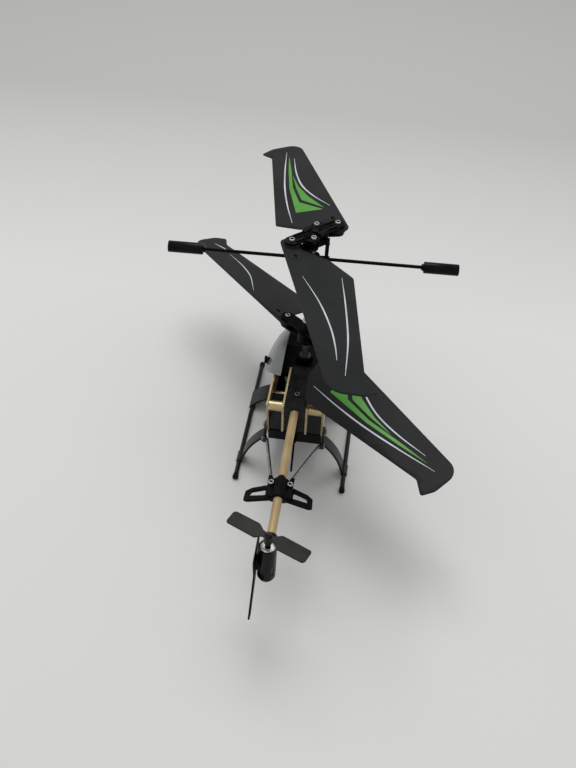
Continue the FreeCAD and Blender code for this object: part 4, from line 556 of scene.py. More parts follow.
def turn_rings(shape: Shape, rings: Sequence[Ring], start: Vector, axis: Vector, steps: int = FACETS,
               inside: float = math.inf) -> None:
    """Adds a turned solid to a shape.

    Args:
        shape: The shape to add to.
        rings: The rings from the solid's foot to its head.
        start: The point on the axis that the rings are measured from.
        axis: The direction of the axis.
        steps: The number of facets round it.
        inside: The ring from which its faces take the piece's second material.
    """
    turn = UP.rotation_difference(axis.normalized()).to_matrix()
    angles = [math.tau * step / steps for step in range(steps)]
    loops = [[shape.verts.new(start + turn @ Vector((
        ring.reach(angle) * math.cos(angle), ring.reach(angle) * math.sin(angle), ring.along)))
        for angle in angles] for ring in rings]
    for index, (low, high) in enumerate(zip(loops, loops[1:])):
        for step in range(steps):
            after = (step + 1) % steps
            face = shape.faces.new((low[step], low[after], high[after], high[step]))
            face.material_index = int(index >= inside)
    shape.faces.new(loops[0][::-1])
    shape.faces.new(loops[-1]).material_index = int(len(rings) > inside)


def add_prism(shape: Shape, loop: Sequence[Point], low: float, high: float) -> None:
    """Adds an upright prism to a shape.

    Args:
        shape: The shape to add to.
        loop: The prism's outline seen from above.
        low: The height of its underside.
        high: The height of its top.
    """
    foot, head = [[shape.verts.new((*point, height)) for point in loop] for height in (low, high)]
    for step in range(len(loop)):
        shape.faces.new((foot[step - 1], foot[step], head[step], head[step - 1]))
    shape.faces.new(foot[::-1])
    shape.faces.new(head)


def prisms(*parts: tuple[Iterable[Sequence[Point]], float, float]) -> Shape:
    """Makes a shape of upright prisms.

    Args:
        parts: Rows of some outlines, the height of their undersides and the height of their tops.

    Returns:
        The shape.
    """
    shape = bmesh.new()
    for loops, low, high in parts:
        for loop in loops:
            add_prism(shape, loop, low, high)
    return shape


def slab(middle: Point, length: float, width: float, turn: float = 0.0, radius: float = 0.3) -> list[Point]:
    """Gives the outline of a rounded bar from its sizes in millimetres.

    Args:
        middle: Its middle.
        length: Its length.
        width: Its width.
        turn: How far it is turned from the first axis, in degrees.
        radius: The radius of its corners.

    Returns:
        The outline's points.
    """
    angle = math.radians(turn)
    corners = []
    for ahead, aside in ((-1, -1), (1, -1), (1, 1), (-1, 1)):
        out, across = ahead * length / 2, aside * width / 2
        corners.append((middle[0] + out * math.cos(angle) - across * math.sin(angle),
                        middle[1] + out * math.sin(angle) + across * math.cos(angle), radius))
    return in_metres(rounded_loop(corners, 3))


def in_metres(loop: Sequence[Point]) -> list[Point]:
    """Turns an outline in millimetres into metres."""
    return [(out * MM, across * MM) for out, across in loop]


def rounded_loop(corners: Sequence[tuple[float, float, float]], steps: int = 6) -> list[Point]:
    """Rounds the corners of an outline.

    Args:
        corners: The corners in order, each with the radius that rounds it.
        steps: The number of short edges in each rounded corner.

    Returns:
        The outline's points.
    """
    points = []
    for index, (across, along, radius) in enumerate(corners):
        here = Vector((across, along))
        before = (Vector(corners[index - 1][:2]) - here).normalized()
        after = (Vector(corners[(index + 1) % len(corners)][:2]) - here).normalized()
        half = before.angle(after) / 2
        centre = here + (before + after).normalized() * (radius / math.sin(half))
        first = here + before * (radius / math.tan(half)) - centre
        last = here + after * (radius / math.tan(half)) - centre
        for step in range(steps + 1):
            points.append(tuple(centre + first.slerp(last, step / steps).normalized() * radius))
    return points


def within(point: Point, loop: Sequence[Point]) -> bool:
    """Tells whether a point lies inside an outline.

    Args:
        point: The point.
        loop: The outline.

    Returns:
        Whether it lies inside.
    """
    found = False
    for (across, along), (next_across, next_along) in zip(loop, [*loop[1:], loop[0]]):
        if (along > point[1]) != (next_along > point[1]):
            share = (point[1] - along) / (next_along - along)
            found ^= point[0] < across + share * (next_across - across)
    return found


def shrunk(loop: Sequence[Point], depth: float) -> list[Point]:
    """Moves an outline inwards, keeping its number of points.

    Args:
        loop: The outline.
        depth: How far each point moves.

    Returns:
        The outline's new points.
    """
    moved = []
    for index, here in enumerate(loop):
        ahead = Vector(loop[(index + 1) % len(loop)]) - Vector(loop[index - 1])
        side = Vector((-ahead.y, ahead.x)).normalized() * depth
        moved.append(tuple(Vector(here) + side))
    return moved


def tapered_line(route: Sequence[Point], width: float, steps: int = 24) -> list[Point]:
    """Gives the outline of a line that swells in its middle and tapers to both ends.

    Args:
        route: Points that the line passes through.
        width: Its width at its widest.
        steps: The number of short pieces along it.

    Returns:
        The outline's points.
    """
    knots = [Vector(point) for point in route]
    knots = [knots[0] * 2 - knots[1], *knots, knots[-1] * 2 - knots[-2]]
    spans = len(knots) - 3
    middle = []
    for step in range(steps + 1):
        place = spans * step / steps
        knot = min(int(place), spans - 1)
        share = place - knot
        first, start, end, last = knots[knot:knot + 4]
        middle.append(0.5 * (2 * start + (end - first) * share
                             + (2 * first - 5 * start + 4 * end - last) * share ** 2
                             + (3 * start - first - 3 * end + last) * share ** 3))
    left, right = [], []
    for step, here in enumerate(middle):
        ahead = middle[min(step + 1, steps)] - middle[max(step - 1, 0)]
        half = width / 2 * max(math.sin(math.pi * step / steps), TIP_SHARE) ** TAPER
        side = Vector((-ahead.y, ahead.x)).normalized() * half
        left.append(tuple(here + side))
        right.append(tuple(here - side))
    return right + left[::-1]


class Join(Enum):
    """How one solid is joined with another."""

    ADD = "UNION"
    CUT = "DIFFERENCE"


def joined(piece: Piece, tool: Shape, how: Join) -> None:
    """Adds a solid to a piece or cuts it out of the piece.

    Args:
        piece: The piece to change.
        tool: The other solid, which is used up.
        how: Whether to add it or cut it out.
    """
    other = closed_piece("joining_tool", tool)
    modifier = piece.modifiers.new("join", "BOOLEAN")
    modifier.operation = how.value
    modifier.solver = "EXACT"
    modifier.object = other
    bpy.context.view_layer.update()
    seen = piece.evaluated_get(bpy.context.evaluated_depsgraph_get())
    piece.data = bpy.data.meshes.new_from_object(seen)
    piece.modifiers.clear()
    bpy.data.objects.remove(other)


def bridge(shape: Shape, first: Sequence[Corner], second: Sequence[Corner]) -> None:
    """Closes the band between two loops of the same number of corners.

    Args:
        shape: The shape that the loops are in.
        first: The one loop.
        second: The other.
    """
    for step in range(len(first)):
        if first[step] is not first[step - 1]:
            shape.faces.new((first[step - 1], first[step], second[step], second[step - 1]))


def settled(piece: Piece, place: Matrix, turn: float) -> None:
    """Moves a joined piece to its place and shades it smooth, but for its sharp edges.

    Args:
        piece: The piece, about its own origin.
        place: Its place.
        turn: The angle in degrees from which an edge is sharp.
    """
    piece.data.transform(place)
    piece.data.shade_smooth()
    piece.data.set_sharp_from_angle(angle=math.radians(turn))


# ---------------------------------------------------------------- assemblies

@dataclass
class Assembly:
    """A sub-assembly that builds its pieces, dresses them and hangs them on their bodies.

    Attributes:
        pieces: The names of the pieces that it has placed.
    """

    pieces: list[str] = field(default_factory=list, init=False)

    def put(self, piece: Piece, finish: Finish, body: str, *nodes: str) -> Piece:
        """Dresses a piece and hangs it on a body.

        Args:
            piece: The piece, already in its place.
            finish: Its finish.
            body: The body that it moves with.
            nodes: The CAD nodes that it stands for.

        Returns:
            The piece.
        """
        if not piece.data.materials:
            paint(piece, finish)
        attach(piece, body)
        if nodes:
            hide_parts(*nodes)
        self.pieces.append(piece.name)
        return piece

    def stand_in(self, node: str, piece: Piece, finish: Finish) -> Piece:
        """Puts a piece in a CAD node's place, on its body."""
        return self.put(piece, finish, BODY_OF[node], node)

    def soften(self, node: str, finish: Finish, width: float = 0.2 * MM, turn: float = SHARP_TURN) -> None:
        """Puts a CAD node in place with its edges rounded, in a finish."""
        self.even(self.stand_in(node, smooth_piece(f"{node}_piece", softened(node, width, turn)), finish))

    def soften_rows(self, *rows: tuple[str, Finish, float]) -> None:
        """Puts CAD nodes in place from rows of a node, its finish and the width of its rounded edges."""
        for node, finish, width in rows:
            self.soften(node, finish, width)

    def even(self, piece: Piece) -> None:
        """Keeps the shading of a piece's flat faces flat, so that only its rounded edges shade off."""
        piece.modifiers.new("even_shading", "WEIGHTED_NORMAL").keep_sharp = True

    def screws(self, node: str, finish: Finish, past: float = math.inf) -> None:
        """Puts every fastener of a CAD node in place as a socket screw.

        Args:
            node: The CAD node.
            finish: The finish of their heads.
            past: Where along the model the brighter screws begin.
        """
        shape = bmesh.new()
        for corners in solids_of(node):
            screw = SocketScrew.measured(corners)
            first = len(shape.faces)
            screw.add_to(shape)
            shape.faces.ensure_lookup_table()
            if screw.head.y > past:
                for face in shape.faces[first:]:
                    face.material_index = face.material_index or 2
        # Second material: painted shade inside the sockets; third: bright steel for the screws past the clamp.
        piece = paint(closed_piece(f"{node}_piece", shape), finish, SOCKET_SHADE, SCREW_STEEL)
        self.stand_in(node, piece, finish)

    def build(self) -> None:
        """Builds every piece of the sub-assembly."""
        raise NotImplementedError

    def report(self) -> None:
        """Says which pieces were placed."""
        log.info("%s: %s", type(self).__name__, ", ".join(self.pieces))


@dataclass(frozen=True)
class SocketScrew:
    """A cap screw with a rounded rim and a six-sided socket, whose inside is painted dark as shade.

    Attributes:
        head: The middle of the top of its head.
        axis: The direction that the head points in.
        length: Its whole length.
        head_radius: The head's radius.
        head_high: The head's height.
        shank_radius: The shank's radius.
        socket_share: The socket's half width as a share of the head's radius.
    """

    head: Vector
    axis: Vector
    length: float
    head_radius: float
    head_high: float
    shank_radius: float
    socket_share: float = 0.56

    @classmethod
    def measured(cls, corners: Sequence[Vector]) -> "SocketScrew":
        """Reads a screw's sizes from its plain solid.

        Args:
            corners: The corners of the solid.

        Returns:
            The screw.
        """
        low, high = extent(corners)
        along = min(range(3), key=lambda side: len({round(corner[side] / WELD) for corner in corners}))
        middle = (low + high) / 2
        across = [side for side in range(3) if side != along]
        widest: dict[int, float] = {}
        for corner in corners:
            step = round(corner[along] / WELD)
            radius = math.hypot(*(corner[side] - middle[side] for side in across))
            widest[step] = max(widest.get(step, 0.0), radius)
        head_radius = max(widest.values())
        rims = [step * WELD for step, radius in widest.items() if radius > head_radius * 0.9]
        sign = 1.0 if sum(rims) / len(rims) > middle[along] else -1.0
        axis = Vector([sign if side == along else 0.0 for side in range(3)])
        middle[along] = high[along] if sign > 0 else low[along]
        length, head_high = high[along] - low[along], max(rims) - min(rims)
        return cls(middle, axis, length, head_radius, head_high, min(widest.values()))

    def add_to(self, shape: Shape) -> None:
        """Adds the screw to a shape.

        Args:
            shape: The shape to add to.
        """
        rim = self.head_radius
        shank = self.shank_radius
        socket = rim * self.socket_share
        under = -self.head_high
        rings = (
            Ring(-self.length, shank * 0.8),
            Ring(-self.length + shank * 0.3, shank),
            Ring(under, shank),
            Ring(under, rim * 0.94),
            Ring(under + rim * 0.06, rim),
            Ring(-rim * 0.3, rim),
            Ring(-rim * 0.12, rim * 0.94),
            Ring(-rim * 0.02, rim * 0.84),
            Ring(0.0, rim * 0.74),
            Ring(-rim * 0.04, socket * 1.06, 6),
            Ring(-rim * 0.1, socket, 6),
            Ring(-self.head_high * 0.8, socket, 6),
            Ring(-self.head_high * 0.9, socket * 0.4, 6),
        )
        # From the socket's rim inwards, the faces take the second material, painted shade.
        turn_rings(shape, rings, self.head, self.axis, 36, inside=9)


@dataclass
class LandingGear(Assembly):
    """Two skid rods with rubber caps, on four bent legs."""

    leg_round: float = 0.35 * MM
    cap_dome: float = 0.9 * MM
    cap_lip: float = 0.35 * MM

    def build(self) -> None:
        """Builds the skids, their caps and the legs."""
        for side in SIDES:
            self.soften(f"{side}_skid", SKID_ROD)
            for end in ("front", "rear"):
                self.soften(f"{end}_leg_{side}", LEG_PLASTIC, self.leg_round)
        shape = bmesh.new()
        for corners in solids_of("skid_caps"):
            self.add_cap(shape, corners)
        self.stand_in("skid_caps", closed_piece("skid_caps_piece", shape), RUBBER)

    def add_cap(self, shape: Shape, corners: Sequence[Vector]) -> None:
        """Adds one cap with a domed end and a soft lip, pressed flat where it stands.

        Args:
            shape: The shape to add to.
            corners: The corners of the cap's plain solid.
        """
        low, high = extent(corners)
        radius = (high.x - low.x) / 2
        length = high.y - low.y
        rear = low.y + high.y > sum(corner[1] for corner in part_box("left_skid"))
        start = Vector(((low.x + high.x) / 2, high.y if rear else low.y, high.z - radius))
        dome, lip = self.cap_dome, self.cap_lip
        rings = (Ring(0.0, radius * 0.35), Ring(dome * 0.16, radius * 0.68), Ring(dome * 0.5, radius * 0.9),
                 Ring(dome, radius), Ring(dome * 1.6, radius), Ring(length - lip, radius * 0.84),
                 Ring(length - lip * 0.3, radius * 0.8), Ring(length, radius * 0.76))
        before = len(shape.verts)
        turn_rings(shape, rings, start, Vector((0, -1 if rear else 1, 0)), 32)
        shape.verts.ensure_lookup_table()
        for corner in shape.verts[before:]:
            corner.co.z = max(corner.co.z, 0.0)


@dataclass
class SideFrames(Assembly):
    """The gold side plates, the spacers between them and the screws that hold them."""

    plate_round: float = 0.12 * MM
    spacer_round: float = 0.3 * MM

    def build(self) -> None:
        """Builds the plates, spacers and screws."""
        for place in ("outer", "inner"):
            for side in SIDES:
                self.soften(f"{place}_frame_{side}", PLATE_GOLD, self.plate_round)
        self.soften("frame_spacers", SPACER_GOLD, self.spacer_round)
        self.screws("frame_screws", DARK_SCREW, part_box("stabiliser_clamp")[0][1])


@dataclass
class Fuselage(Assembly):
    """The black housing with its battery, cases, decks, switch and antenna."""

    moulding_round: float = 0.3 * MM

    def build(self) -> None:
        """Builds the housing and everything fixed in it."""
        moulded = self.moulding_round
        self.soften_rows(
            ("lower_housing", BLACK_PLASTIC, moulded), ("electronics_case", GLOSS_PLASTIC, moulded),
            ("boom_holder", GLOSS_PLASTIC, moulded), ("lower_deck", BLACK_PLASTIC, moulded),
            ("upper_deck", BLACK_PLASTIC, moulded), ("battery", CELL_WRAP, 0.8 * MM),
            ("receiver_board", BOARD, 0.1 * MM), ("power_switch", GLOSS_PLASTIC, 0.15 * MM),
            ("antenna", BLACK_PLASTIC, 0.12 * MM))


@dataclass
class DriveTrain(Assembly):
    """Motors, pinions, main gears, shafts and their bushes."""

    can_round: float = 0.3 * MM
    tooth_round: float = 0.08 * MM
    shaft_round: float = 0.15 * MM
    collar_black: float = 0.6

    def build(self) -> None:
        """Builds the two gear trains and the shafts that they turn."""
        for end in ("front", "rear"):
            self.soften(f"{end}_motor", MOTOR_CAN, self.can_round)
            self.soften(f"{end}_pinion", BRASS, 0.05 * MM)
        self.soften_rows(
            ("lower_main_gear", GEAR_NYLON, self.tooth_round),
            ("upper_main_gear", GEAR_NYLON, self.tooth_round), ("inner_shaft", STEEL, self.shaft_round),
            ("outer_shaft", STEEL, self.shaft_round), ("shaft_bearings", BRONZE, self.shaft_round))
        collar = paint(smooth_piece("shaft_collar_piece", softened("shaft_collar", self.can_round)),
                       COLLAR_PLASTIC, BLACK_PLASTIC)
        low, high = (corner[2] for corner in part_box("shaft_collar"))
        for face in collar.data.polygons:
            face.material_index = int(face.center.z < low + (high - low) * self.collar_black)
        self.stand_in("shaft_collar", collar, COLLAR_PLASTIC)


@dataclass
class RotorHeads(Assembly):
    """The lower and upper hubs, their clamp plates, bolts and pivot pins.

    The upper head's outlines run along the line through its two hinges, in millimetres from the mast, and
    each feature stands once on either side of the mast.
    """

    hub_round: float = 0.25 * MM
    plate_round: float = 0.14 * MM
    rail_high: float = 0.75 * MM
    bar_high: float = 1.1 * MM
    ladder_high: float = 0.85 * MM
    cap_high: float = 1.05 * MM
    cap_radius: float = 2.2
    bore_radius: float = 1.6
    bore_top: float = 0.65 * MM
    sunk: float = 0.2 * MM
    bar_sunk: float = 0.9 * MM
    window_deep: float = 0.5 * MM
    block_length: float = 15.0
    block_width: float = 7.0
    block_bore: float = 2.6
    block_drop: float = 1.8 * MM
    block_gap: float = 0.1 * MM
    groove_end: float = 0.6 * MM

    def build(self) -> None:
        """Builds both heads."""
        for node in ("lower_hub", "lower_hub_plate", "upper_hub"):
            self.soften(node, BLACK_PLASTIC, self.hub_round)
        self.upper_plate()
        self.middle_block()
        self.screws("lower_blade_bolts", SCREW_STEEL)
        self.screws("upper_head_bolts", SCREW_STEEL)
        self.soften("pivot_pins", STEEL, 0.1 * MM)

    def place(self) -> Matrix:
        """Gives the upper head's place.

        Returns:
            The place with its middle on the mast and its first axis through the hinges.
        """
        mast = Vector(JOINTS["head_tilt"]["pos_m"])
        reach = Vector(JOINTS["upper_blade_a_fold"]["pos_m"]) - Vector(JOINTS["upper_blade_b_fold"]["pos_m"])
        return Matrix.Translation((mast.x, mast.y, 0)) @ Matrix.Rotation(math.atan2(reach.y, reach.x), 4, "Z")

    def on_both_sides(self, *loops: Sequence[Point]) -> list[list[Point]]:
        """Gives each outline and its twin on the far side of the mast."""
        return [[(side * out, side * across) for out, across in loop] for loop in loops for side in (1, -1)]

    def disc(self, radius: float) -> list[Point]:
        """Gives a round outline about the mast from a radius in millimetres."""
        angles = [math.tau * step / 32 for step in range(32)]
        return in_metres([(radius * math.cos(angle), radius * math.sin(angle)) for angle in angles])

    def upper_plate(self) -> None:
        """Builds the upper clamp plate: a band over both hinges with ears, rails, bars and ladders."""
        low, top = (corner[2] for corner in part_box("upper_hub_plate"))
        side = ((-20.7, -4.0, 3.9), (-10.8, -4.0, 1.0), (-8.6, -7.6, 1.4), (-2.8, -7.6, 1.4), (-0.8, -4.2, 0.8),
                (20.7, -4.0, 3.9))
        edge = [*side, *((-out, -across, radius) for out, across, radius in side)]
        piece = smooth_piece("upper_hub_plate_piece", prisms(([in_metres(rounded_loop(edge))], low, top)))
        rails = self.on_both_sides(slab((12.2, 2.7), 7.0, 0.9), slab((10.4, -2.9), 6.0, 0.8))
        bars = self.on_both_sides(slab((-2.9, 3.4), 7.4, 2.6, 14))
        ladders = self.on_both_sides(slab((-5.6, -1.2), 5.4, 3.6))
        joined(piece, prisms(
            (rails, top - self.sunk, top + self.rail_high), (bars, top - self.bar_sunk, top + self.bar_high),
            (ladders, top - self.sunk, top + self.ladder_high),
            ([self.disc(self.cap_radius)], top - self.sunk, top + self.cap_high)), Join.ADD)
        windows = [slab((-7.2 + 1.6 * step, -1.2), 0.9, 2.4, radius=0.2) for step in range(3)]
        joined(piece, prisms(
            (self.on_both_sides(*windows, slab((11.6, -0.2), 3.8, 1.1)), top - self.window_deep, top + 2 * MM),
            ([self.disc(self.bore_radius)], low - MM, top + self.bore_top)), Join.CUT)
        shape = bmesh.new()
        shape.from_mesh(piece.data)
        if rounded_edges(shape, self.plate_round, SHARP_TURN):
            shape.to_mesh(piece.data)
        shape.free()
        settled(piece, self.place(), SMOOTH_TURN)
        self.even(self.stand_in("upper_hub_plate", piece, BLACK_PLASTIC))

    def middle_block(self) -> None:
        """Builds the ribbed block between the upper hub and its plate."""
        low = JOINTS["head_tilt"]["pos_m"][2] - self.block_drop
        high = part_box("upper_hub_plate")[0][2] - self.block_gap
        block = slab((0, 0), self.block_length, self.block_width, radius=0.8)
        piece = smooth_piece("upper_middle_block", prisms(([block], low, high)))
        joined(piece, prisms(([self.disc(self.block_bore)], low - MM, high + MM)), Join.CUT)
        grooves = [slab((-5.4 + 2.1 * step, self.block_width / 2), 0.8, 1.0, radius=0.15) for step in range(6)]
        joined(piece, prisms(
            (self.on_both_sides(*grooves), low + self.groove_end, high - self.groove_end)), Join.CUT)
        piece.data.transform(self.place())
        self.put(piece, BLACK_PLASTIC, "upper_head")


@dataclass
class Flybar(Assembly):
    """The stabilising bar under the upper head, its two weights and its link."""

    neck: float = 1.1 * MM
    shoulder: float = 0.5 * MM
    end_round: float = 0.4 * MM

    def build(self) -> None:
        """Builds the bar, the weights and the link."""
        self.soften("flybar", BLACK_PLASTIC)
        self.soften("flybar_link", BLACK_PLASTIC, 0.12 * MM)
        for sign, side in zip((1, -1), SIDES):
            self.weight(f"flybar_weight_{side}", sign)

    def weight(self, node: str, sign: int) -> None:
        """Builds one weight: a turned cylinder with a short neck towards the mast.

        Args:
            node: The CAD node that it stands for.
            sign: The side that it stands on, 1 or -1.
        """
        axis = Vector(JOINTS["flybar_teeter"]["axis"]).cross(UP).normalized() * sign
        low, high = map(Vector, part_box(node))
        centre = (low + high) / 2
        radius = (high.z - low.z) / 2
        shape = welded(node)
        length = 2 * max((corner.co - centre).dot(axis) for corner in shape.verts)
        shape.free()
        neck, shoulder, soft = self.neck, self.shoulder, self.end_round
        rings = (Ring(0.0, radius * 0.5), Ring(0.12 * MM, radius * 0.56), Ring(neck, radius * 0.6),
                 Ring(neck + shoulder * 0.6, radius * 0.92), Ring(neck + shoulder, radius),
                 Ring(length - soft, radius), Ring(length - soft * 0.3, radius * 0.96),
                 Ring(length, radius * 0.86), Ring(length, radius * 0.5),
                 Ring(length - 0.3 * MM, radius * 0.46))
        turned = bmesh.new()
        turn_rings(turned, rings, centre - axis * length / 2, axis)
        self.stand_in(node, closed_piece(f"{node}_piece", turned), BLACK_METAL)


@dataclass
class Blade(Assembly):
    """One rotor blade: a thin cambered sheet with printed lines, and a thick pad on its hinge.

    Attributes:
        node: The CAD node that it stands for.
        azimuth: The direction in degrees that it points in.
        hand: 1 where its trailing edge lies to the left of its direction, -1 where it lies to the right.
        root_pitch: Its pitch in degrees at the hinge.
        flash: Whether a green flash is printed between its lines.
        long_line: The route of the printed line by its trailing edge, in millimetres from the hinge.
        short_line: The route of the printed line by its leading edge.
        flashes: The outlines of the two parts of the green flash.
        line_width: The width of both lines.
        tip_pitch: Its pitch in degrees at the tip.
        tip: How far out its tip is.
        front: How far its leading edge lies before the hinge.
        thick: The sheet's thickness.
        droop: How far the tip hangs under the hinge.
        camber: How far the sheet bows across its width.
        relief: The radius about the hinge in which the sheet stays as thin as the pad.
        edge: The width of the rounding of its rim.
        mesh_step: The spacing of the points that carry its curve.
        sharp: The angle in degrees from which its edges are shaded sharp.
    """

    node: str
    azimuth: float
    hand: int
    root_pitch: float
    flash: bool
    long_line: Sequence[Point] = ((19, 22), (40, 20), (62, 16.6), (86, 11), (109, 4.6))
    short_line: Sequence[Point] = ((27, -2.6), (44, 3.4), (60, 6.4), (78, 5.6), (98, 2.2))
    flashes: Sequence[Sequence[Point]] = (
        ((103, 4.4), (84, 9.2), (60, 14.2), (29, 17.4), (24.5, 2.0), (40, 12.8), (60, 12.0), (84, 7.4)),
        ((76, 8.4), (58, 10.4), (42, 10.9), (26, 1.0), (45, 6.4), (60, 8.6)))
    line_width: float = 0.95
    tip_pitch: float = 12.0
    tip: float = 118.5 * MM
    front: float = -6.2 * MM
    thick: float = 1.0 * MM
    droop: float = 8.6 * MM
    camber: float = 1.3 * MM
    bow_middle: float = 10 * MM
    bow_half: float = 22 * MM
    pad_radius: float = 4.6 * MM
    pad_half: float = 1.7 * MM
    relief: float = 7.4 * MM
    hole_radius: float = 0.95 * MM
    hole_reach: float = 6.0 * MM
    slot_start: float = 10.1 * MM
    slot_end: float = 12.1 * MM
    slot_radius: float = 0.95 * MM
    slot_depth: float = 0.7 * MM
    boss_start: float = 6.0 * MM
    boss_end: float = 10.9 * MM
    boss_radius: float = 3.9 * MM
    boss_step: float = 0.35 * MM
    boss_high: float = 0.3 * MM
    edge: float = 0.4 * MM
    pad_edge: float = 0.2 * MM
    mesh_step: float = 4.0 * MM
    end_steps: int = 12
    sharp: float = 30.0

    def outline(self) -> list[Point]:
        """Gives the blade's outline seen from above, as if its trailing edge lay to the left.

        Returns:
            The outline's points.
        """
        tip, front = self.tip / MM, self.front / MM
        corners = (
            (-5.4, front, 4.6),
            (tip - 1.5, front, 9.0),
            (tip + 0.6, 12.0, 8.0),
            (tip - 2.2, 19.6, 1.4),
            (tip - 11.5, 15.0, 4.0),
            (22.8, 30.9, 2.6),
            (9.8, 19.6, 6.0),
            (3.9, 5.2, 1.0),
            (-5.4, 5.2, 4.0),
        )
        return rounded_loop([tuple(size * MM for size in corner) for corner in corners])

    def height(self, out: float, chordwise: float) -> float:
        """Gives how far the middle of the sheet stands above the hinge.

        Args:
            out: How far out from the hinge the place is.
            chordwise: How far across the blade it is.

        Returns:
            The height.
        """
        share = max(out, 0.0) / self.tip
        pitch = math.radians(self.root_pitch + (self.tip_pitch - self.root_pitch) * share)
        middle, half = self.bow_middle, self.bow_half
        bow = self.camber * ((middle / half) ** 2 - ((chordwise - middle) / half) ** 2)
        return bow - self.droop * out / self.tip - math.tan(pitch) * chordwise

    def stadium(self, start: float, end: float, radius: float) -> list[Point]:
        """Gives a long round outline between two places on the blade's own axis.

        Args:
            start: The middle of its inner end.
            end: The middle of its outer end.
            radius: The radius of both ends.

        Returns:
            The outline's points.
        """
        turns = [(middle, math.radians(first + 180 * step / self.end_steps))
                 for middle, first in ((end, -90), (start, 90)) for step in range(self.end_steps + 1)]
        return [(middle + radius * math.cos(angle), radius * math.sin(angle)) for middle, angle in turns]

    def lift(self, out: float, across: float) -> float:
        """Gives how far the thick boss round the slot stands above the sheet.

        Args:
            out: How far out from the hinge the place is.
            across: How far across the blade it is.

        Returns:
            The height.
        """
        nearest = min(max(out, self.boss_start), self.boss_end)
        inset = self.boss_radius - math.hypot(out - nearest, across)
        return self.boss_high * min(max(inset / self.boss_step, 0.0), 1.0)

    def prints(self) -> list[tuple[Finish, list[Point]]]:
        """Lays out what is printed on the blade.

        Returns:
            The outlines of the lines and flashes, each with its finish.
        """
        shapes = [(PRINT_WHITE, in_metres(tapered_line(line, self.line_width)))
                  for line in (self.long_line, self.short_line)]
        if self.flash:
            shapes += [(PRINT_GREEN, in_metres(flash)) for flash in self.flashes]
        return shapes

    def lattice(self, loop: Sequence[Point]) -> list[Point]:
        """Gives evenly spaced points inside an outline, which carry the sheet's curve.

        Args:
            loop: The outline.

        Returns:
            The points.
        """
        low, high = extent(loop)
        columns, rows = (range(math.floor(first / self.mesh_step), math.ceil(last / self.mesh_step))
                         for first, last in zip(low, high))
        spots = [(column * self.mesh_step, row * self.mesh_step) for column in columns for row in rows]
        return [spot for spot in spots if within(spot, loop)]

    def level(self, out: float, across: float, side: int) -> float:
        """Gives the height of a side of the sheet, with its flat by the hinge.

        Args:
            out: How far out from the hinge the place is.
            across: How far across the blade it is.
            side: 1 for the upper side, -1 for the under side.

        Returns:
            The height.
        """
        height = self.height(out, across) + side * self.thick / 2
        if side > 0:
            height += self.lift(out, across)
        if math.hypot(out, across) < self.relief:
            height = max(min(height, self.pad_half), -self.pad_half)
        return height

    def sheet(self) -> Piece:
        """Builds the sheet with its prints, rounded rim and slot, whose floor is painted black as shade.

        Returns:
            The sheet, about its hinge.
        """
        rim = self.outline()
        flat = shrunk(rim, self.edge)
        slot = self.stadium(self.slot_start, self.slot_end, self.slot_radius)
        boss = [self.stadium(self.boss_start, self.boss_end, self.boss_radius - inset)
                for inset in (0.0, self.boss_step)]
        prints = self.prints()
        loops = [flat, slot, *boss, *(loop for _, loop in prints)]
        edges, start = [], 0
        for loop in loops:
            edges += [(start + step, start + (step + 1) % len(loop)) for step in range(len(loop))]
            start += len(loop)
        points = [Vector(point) for loop in (*loops, self.lattice(shrunk(flat, self.edge))) for point in loop]
        spots, _, faces, sources, _, _ = geometry.delaunay_2d_cdt(points, edges, [], 0, WELD)
        shape = bmesh.new()
        skins = [[shape.verts.new((spot.x, self.hand * spot.y, self.level(spot.x, spot.y, side)))
                  for spot in spots] for side in (1, -1)]
        # The last finish, black rubber, is the painted shade on the slot's floor.
        finishes = [self.plastic(), PRINT_WHITE, PRINT_GREEN, RUBBER]
        for face in faces:
            centre = tuple(sum((spots[index] for index in face), Vector((0, 0))) / len(face))
            if not within(centre, flat):
                continue
            shape.faces.new([skins[1][index] for index in reversed(face)])
            if not within(centre, slot):
                upper = shape.faces.new([skins[0][index] for index in face])
                upper.material_index = next(
                    (finishes.index(finish) for finish, loop in prints if within(centre, loop)), 0)
        landed = {source: index for index, found in enumerate(sources) for source in found}
        rim_row = [landed[step] for step in range(len(flat))]
        slot_row = [landed[len(flat) + step] for step in range(len(slot))]
        bands = [[skin[index] for index in rim_row] for skin in skins]
        for part in (-0.5, 0.5):
            bands.insert(1, [shape.verts.new((spot[0], self.hand * spot[1], self.edge_level(spot, part)))
                             for spot in rim])
        for first, second in zip(bands, bands[1:]):
            bridge(shape, first, second)
        slot_rim = [skins[0][index] for index in slot_row]
        # The slot stops short of the under side, and its floor is painted black as shade to make it look deep.
        shaded_slot_floor = [shape.verts.new(corner.co - UP * self.slot_depth) for corner in slot_rim]
        bridge(shape, slot_rim, shaded_slot_floor)
        shape.faces.new(shaded_slot_floor).material_index = finishes.index(RUBBER)
        bmesh.ops.remove_doubles(shape, verts=shape.verts, dist=WELD)
        bmesh.ops.delete(shape, geom=[corner for corner in shape.verts if not corner.link_faces],
                         context="VERTS")
        return paint(closed_piece(f"{self.node}_piece", shape, self.sharp), *finishes)

    def plastic(self) -> Finish:
        """Gives the finish of the blade itself."""
        return GREEN_BLADE_PLASTIC if self.flash else BLADE_PLASTIC

    def edge_level(self, spot: Point, part: float) -> float:
        """Gives a height on the sheet's rim, as a part of its thickness above its middle."""
        top, bottom = self.level(*spot, 1), self.level(*spot, -1)
        return (top + bottom) / 2 + part * (top - bottom) / 2

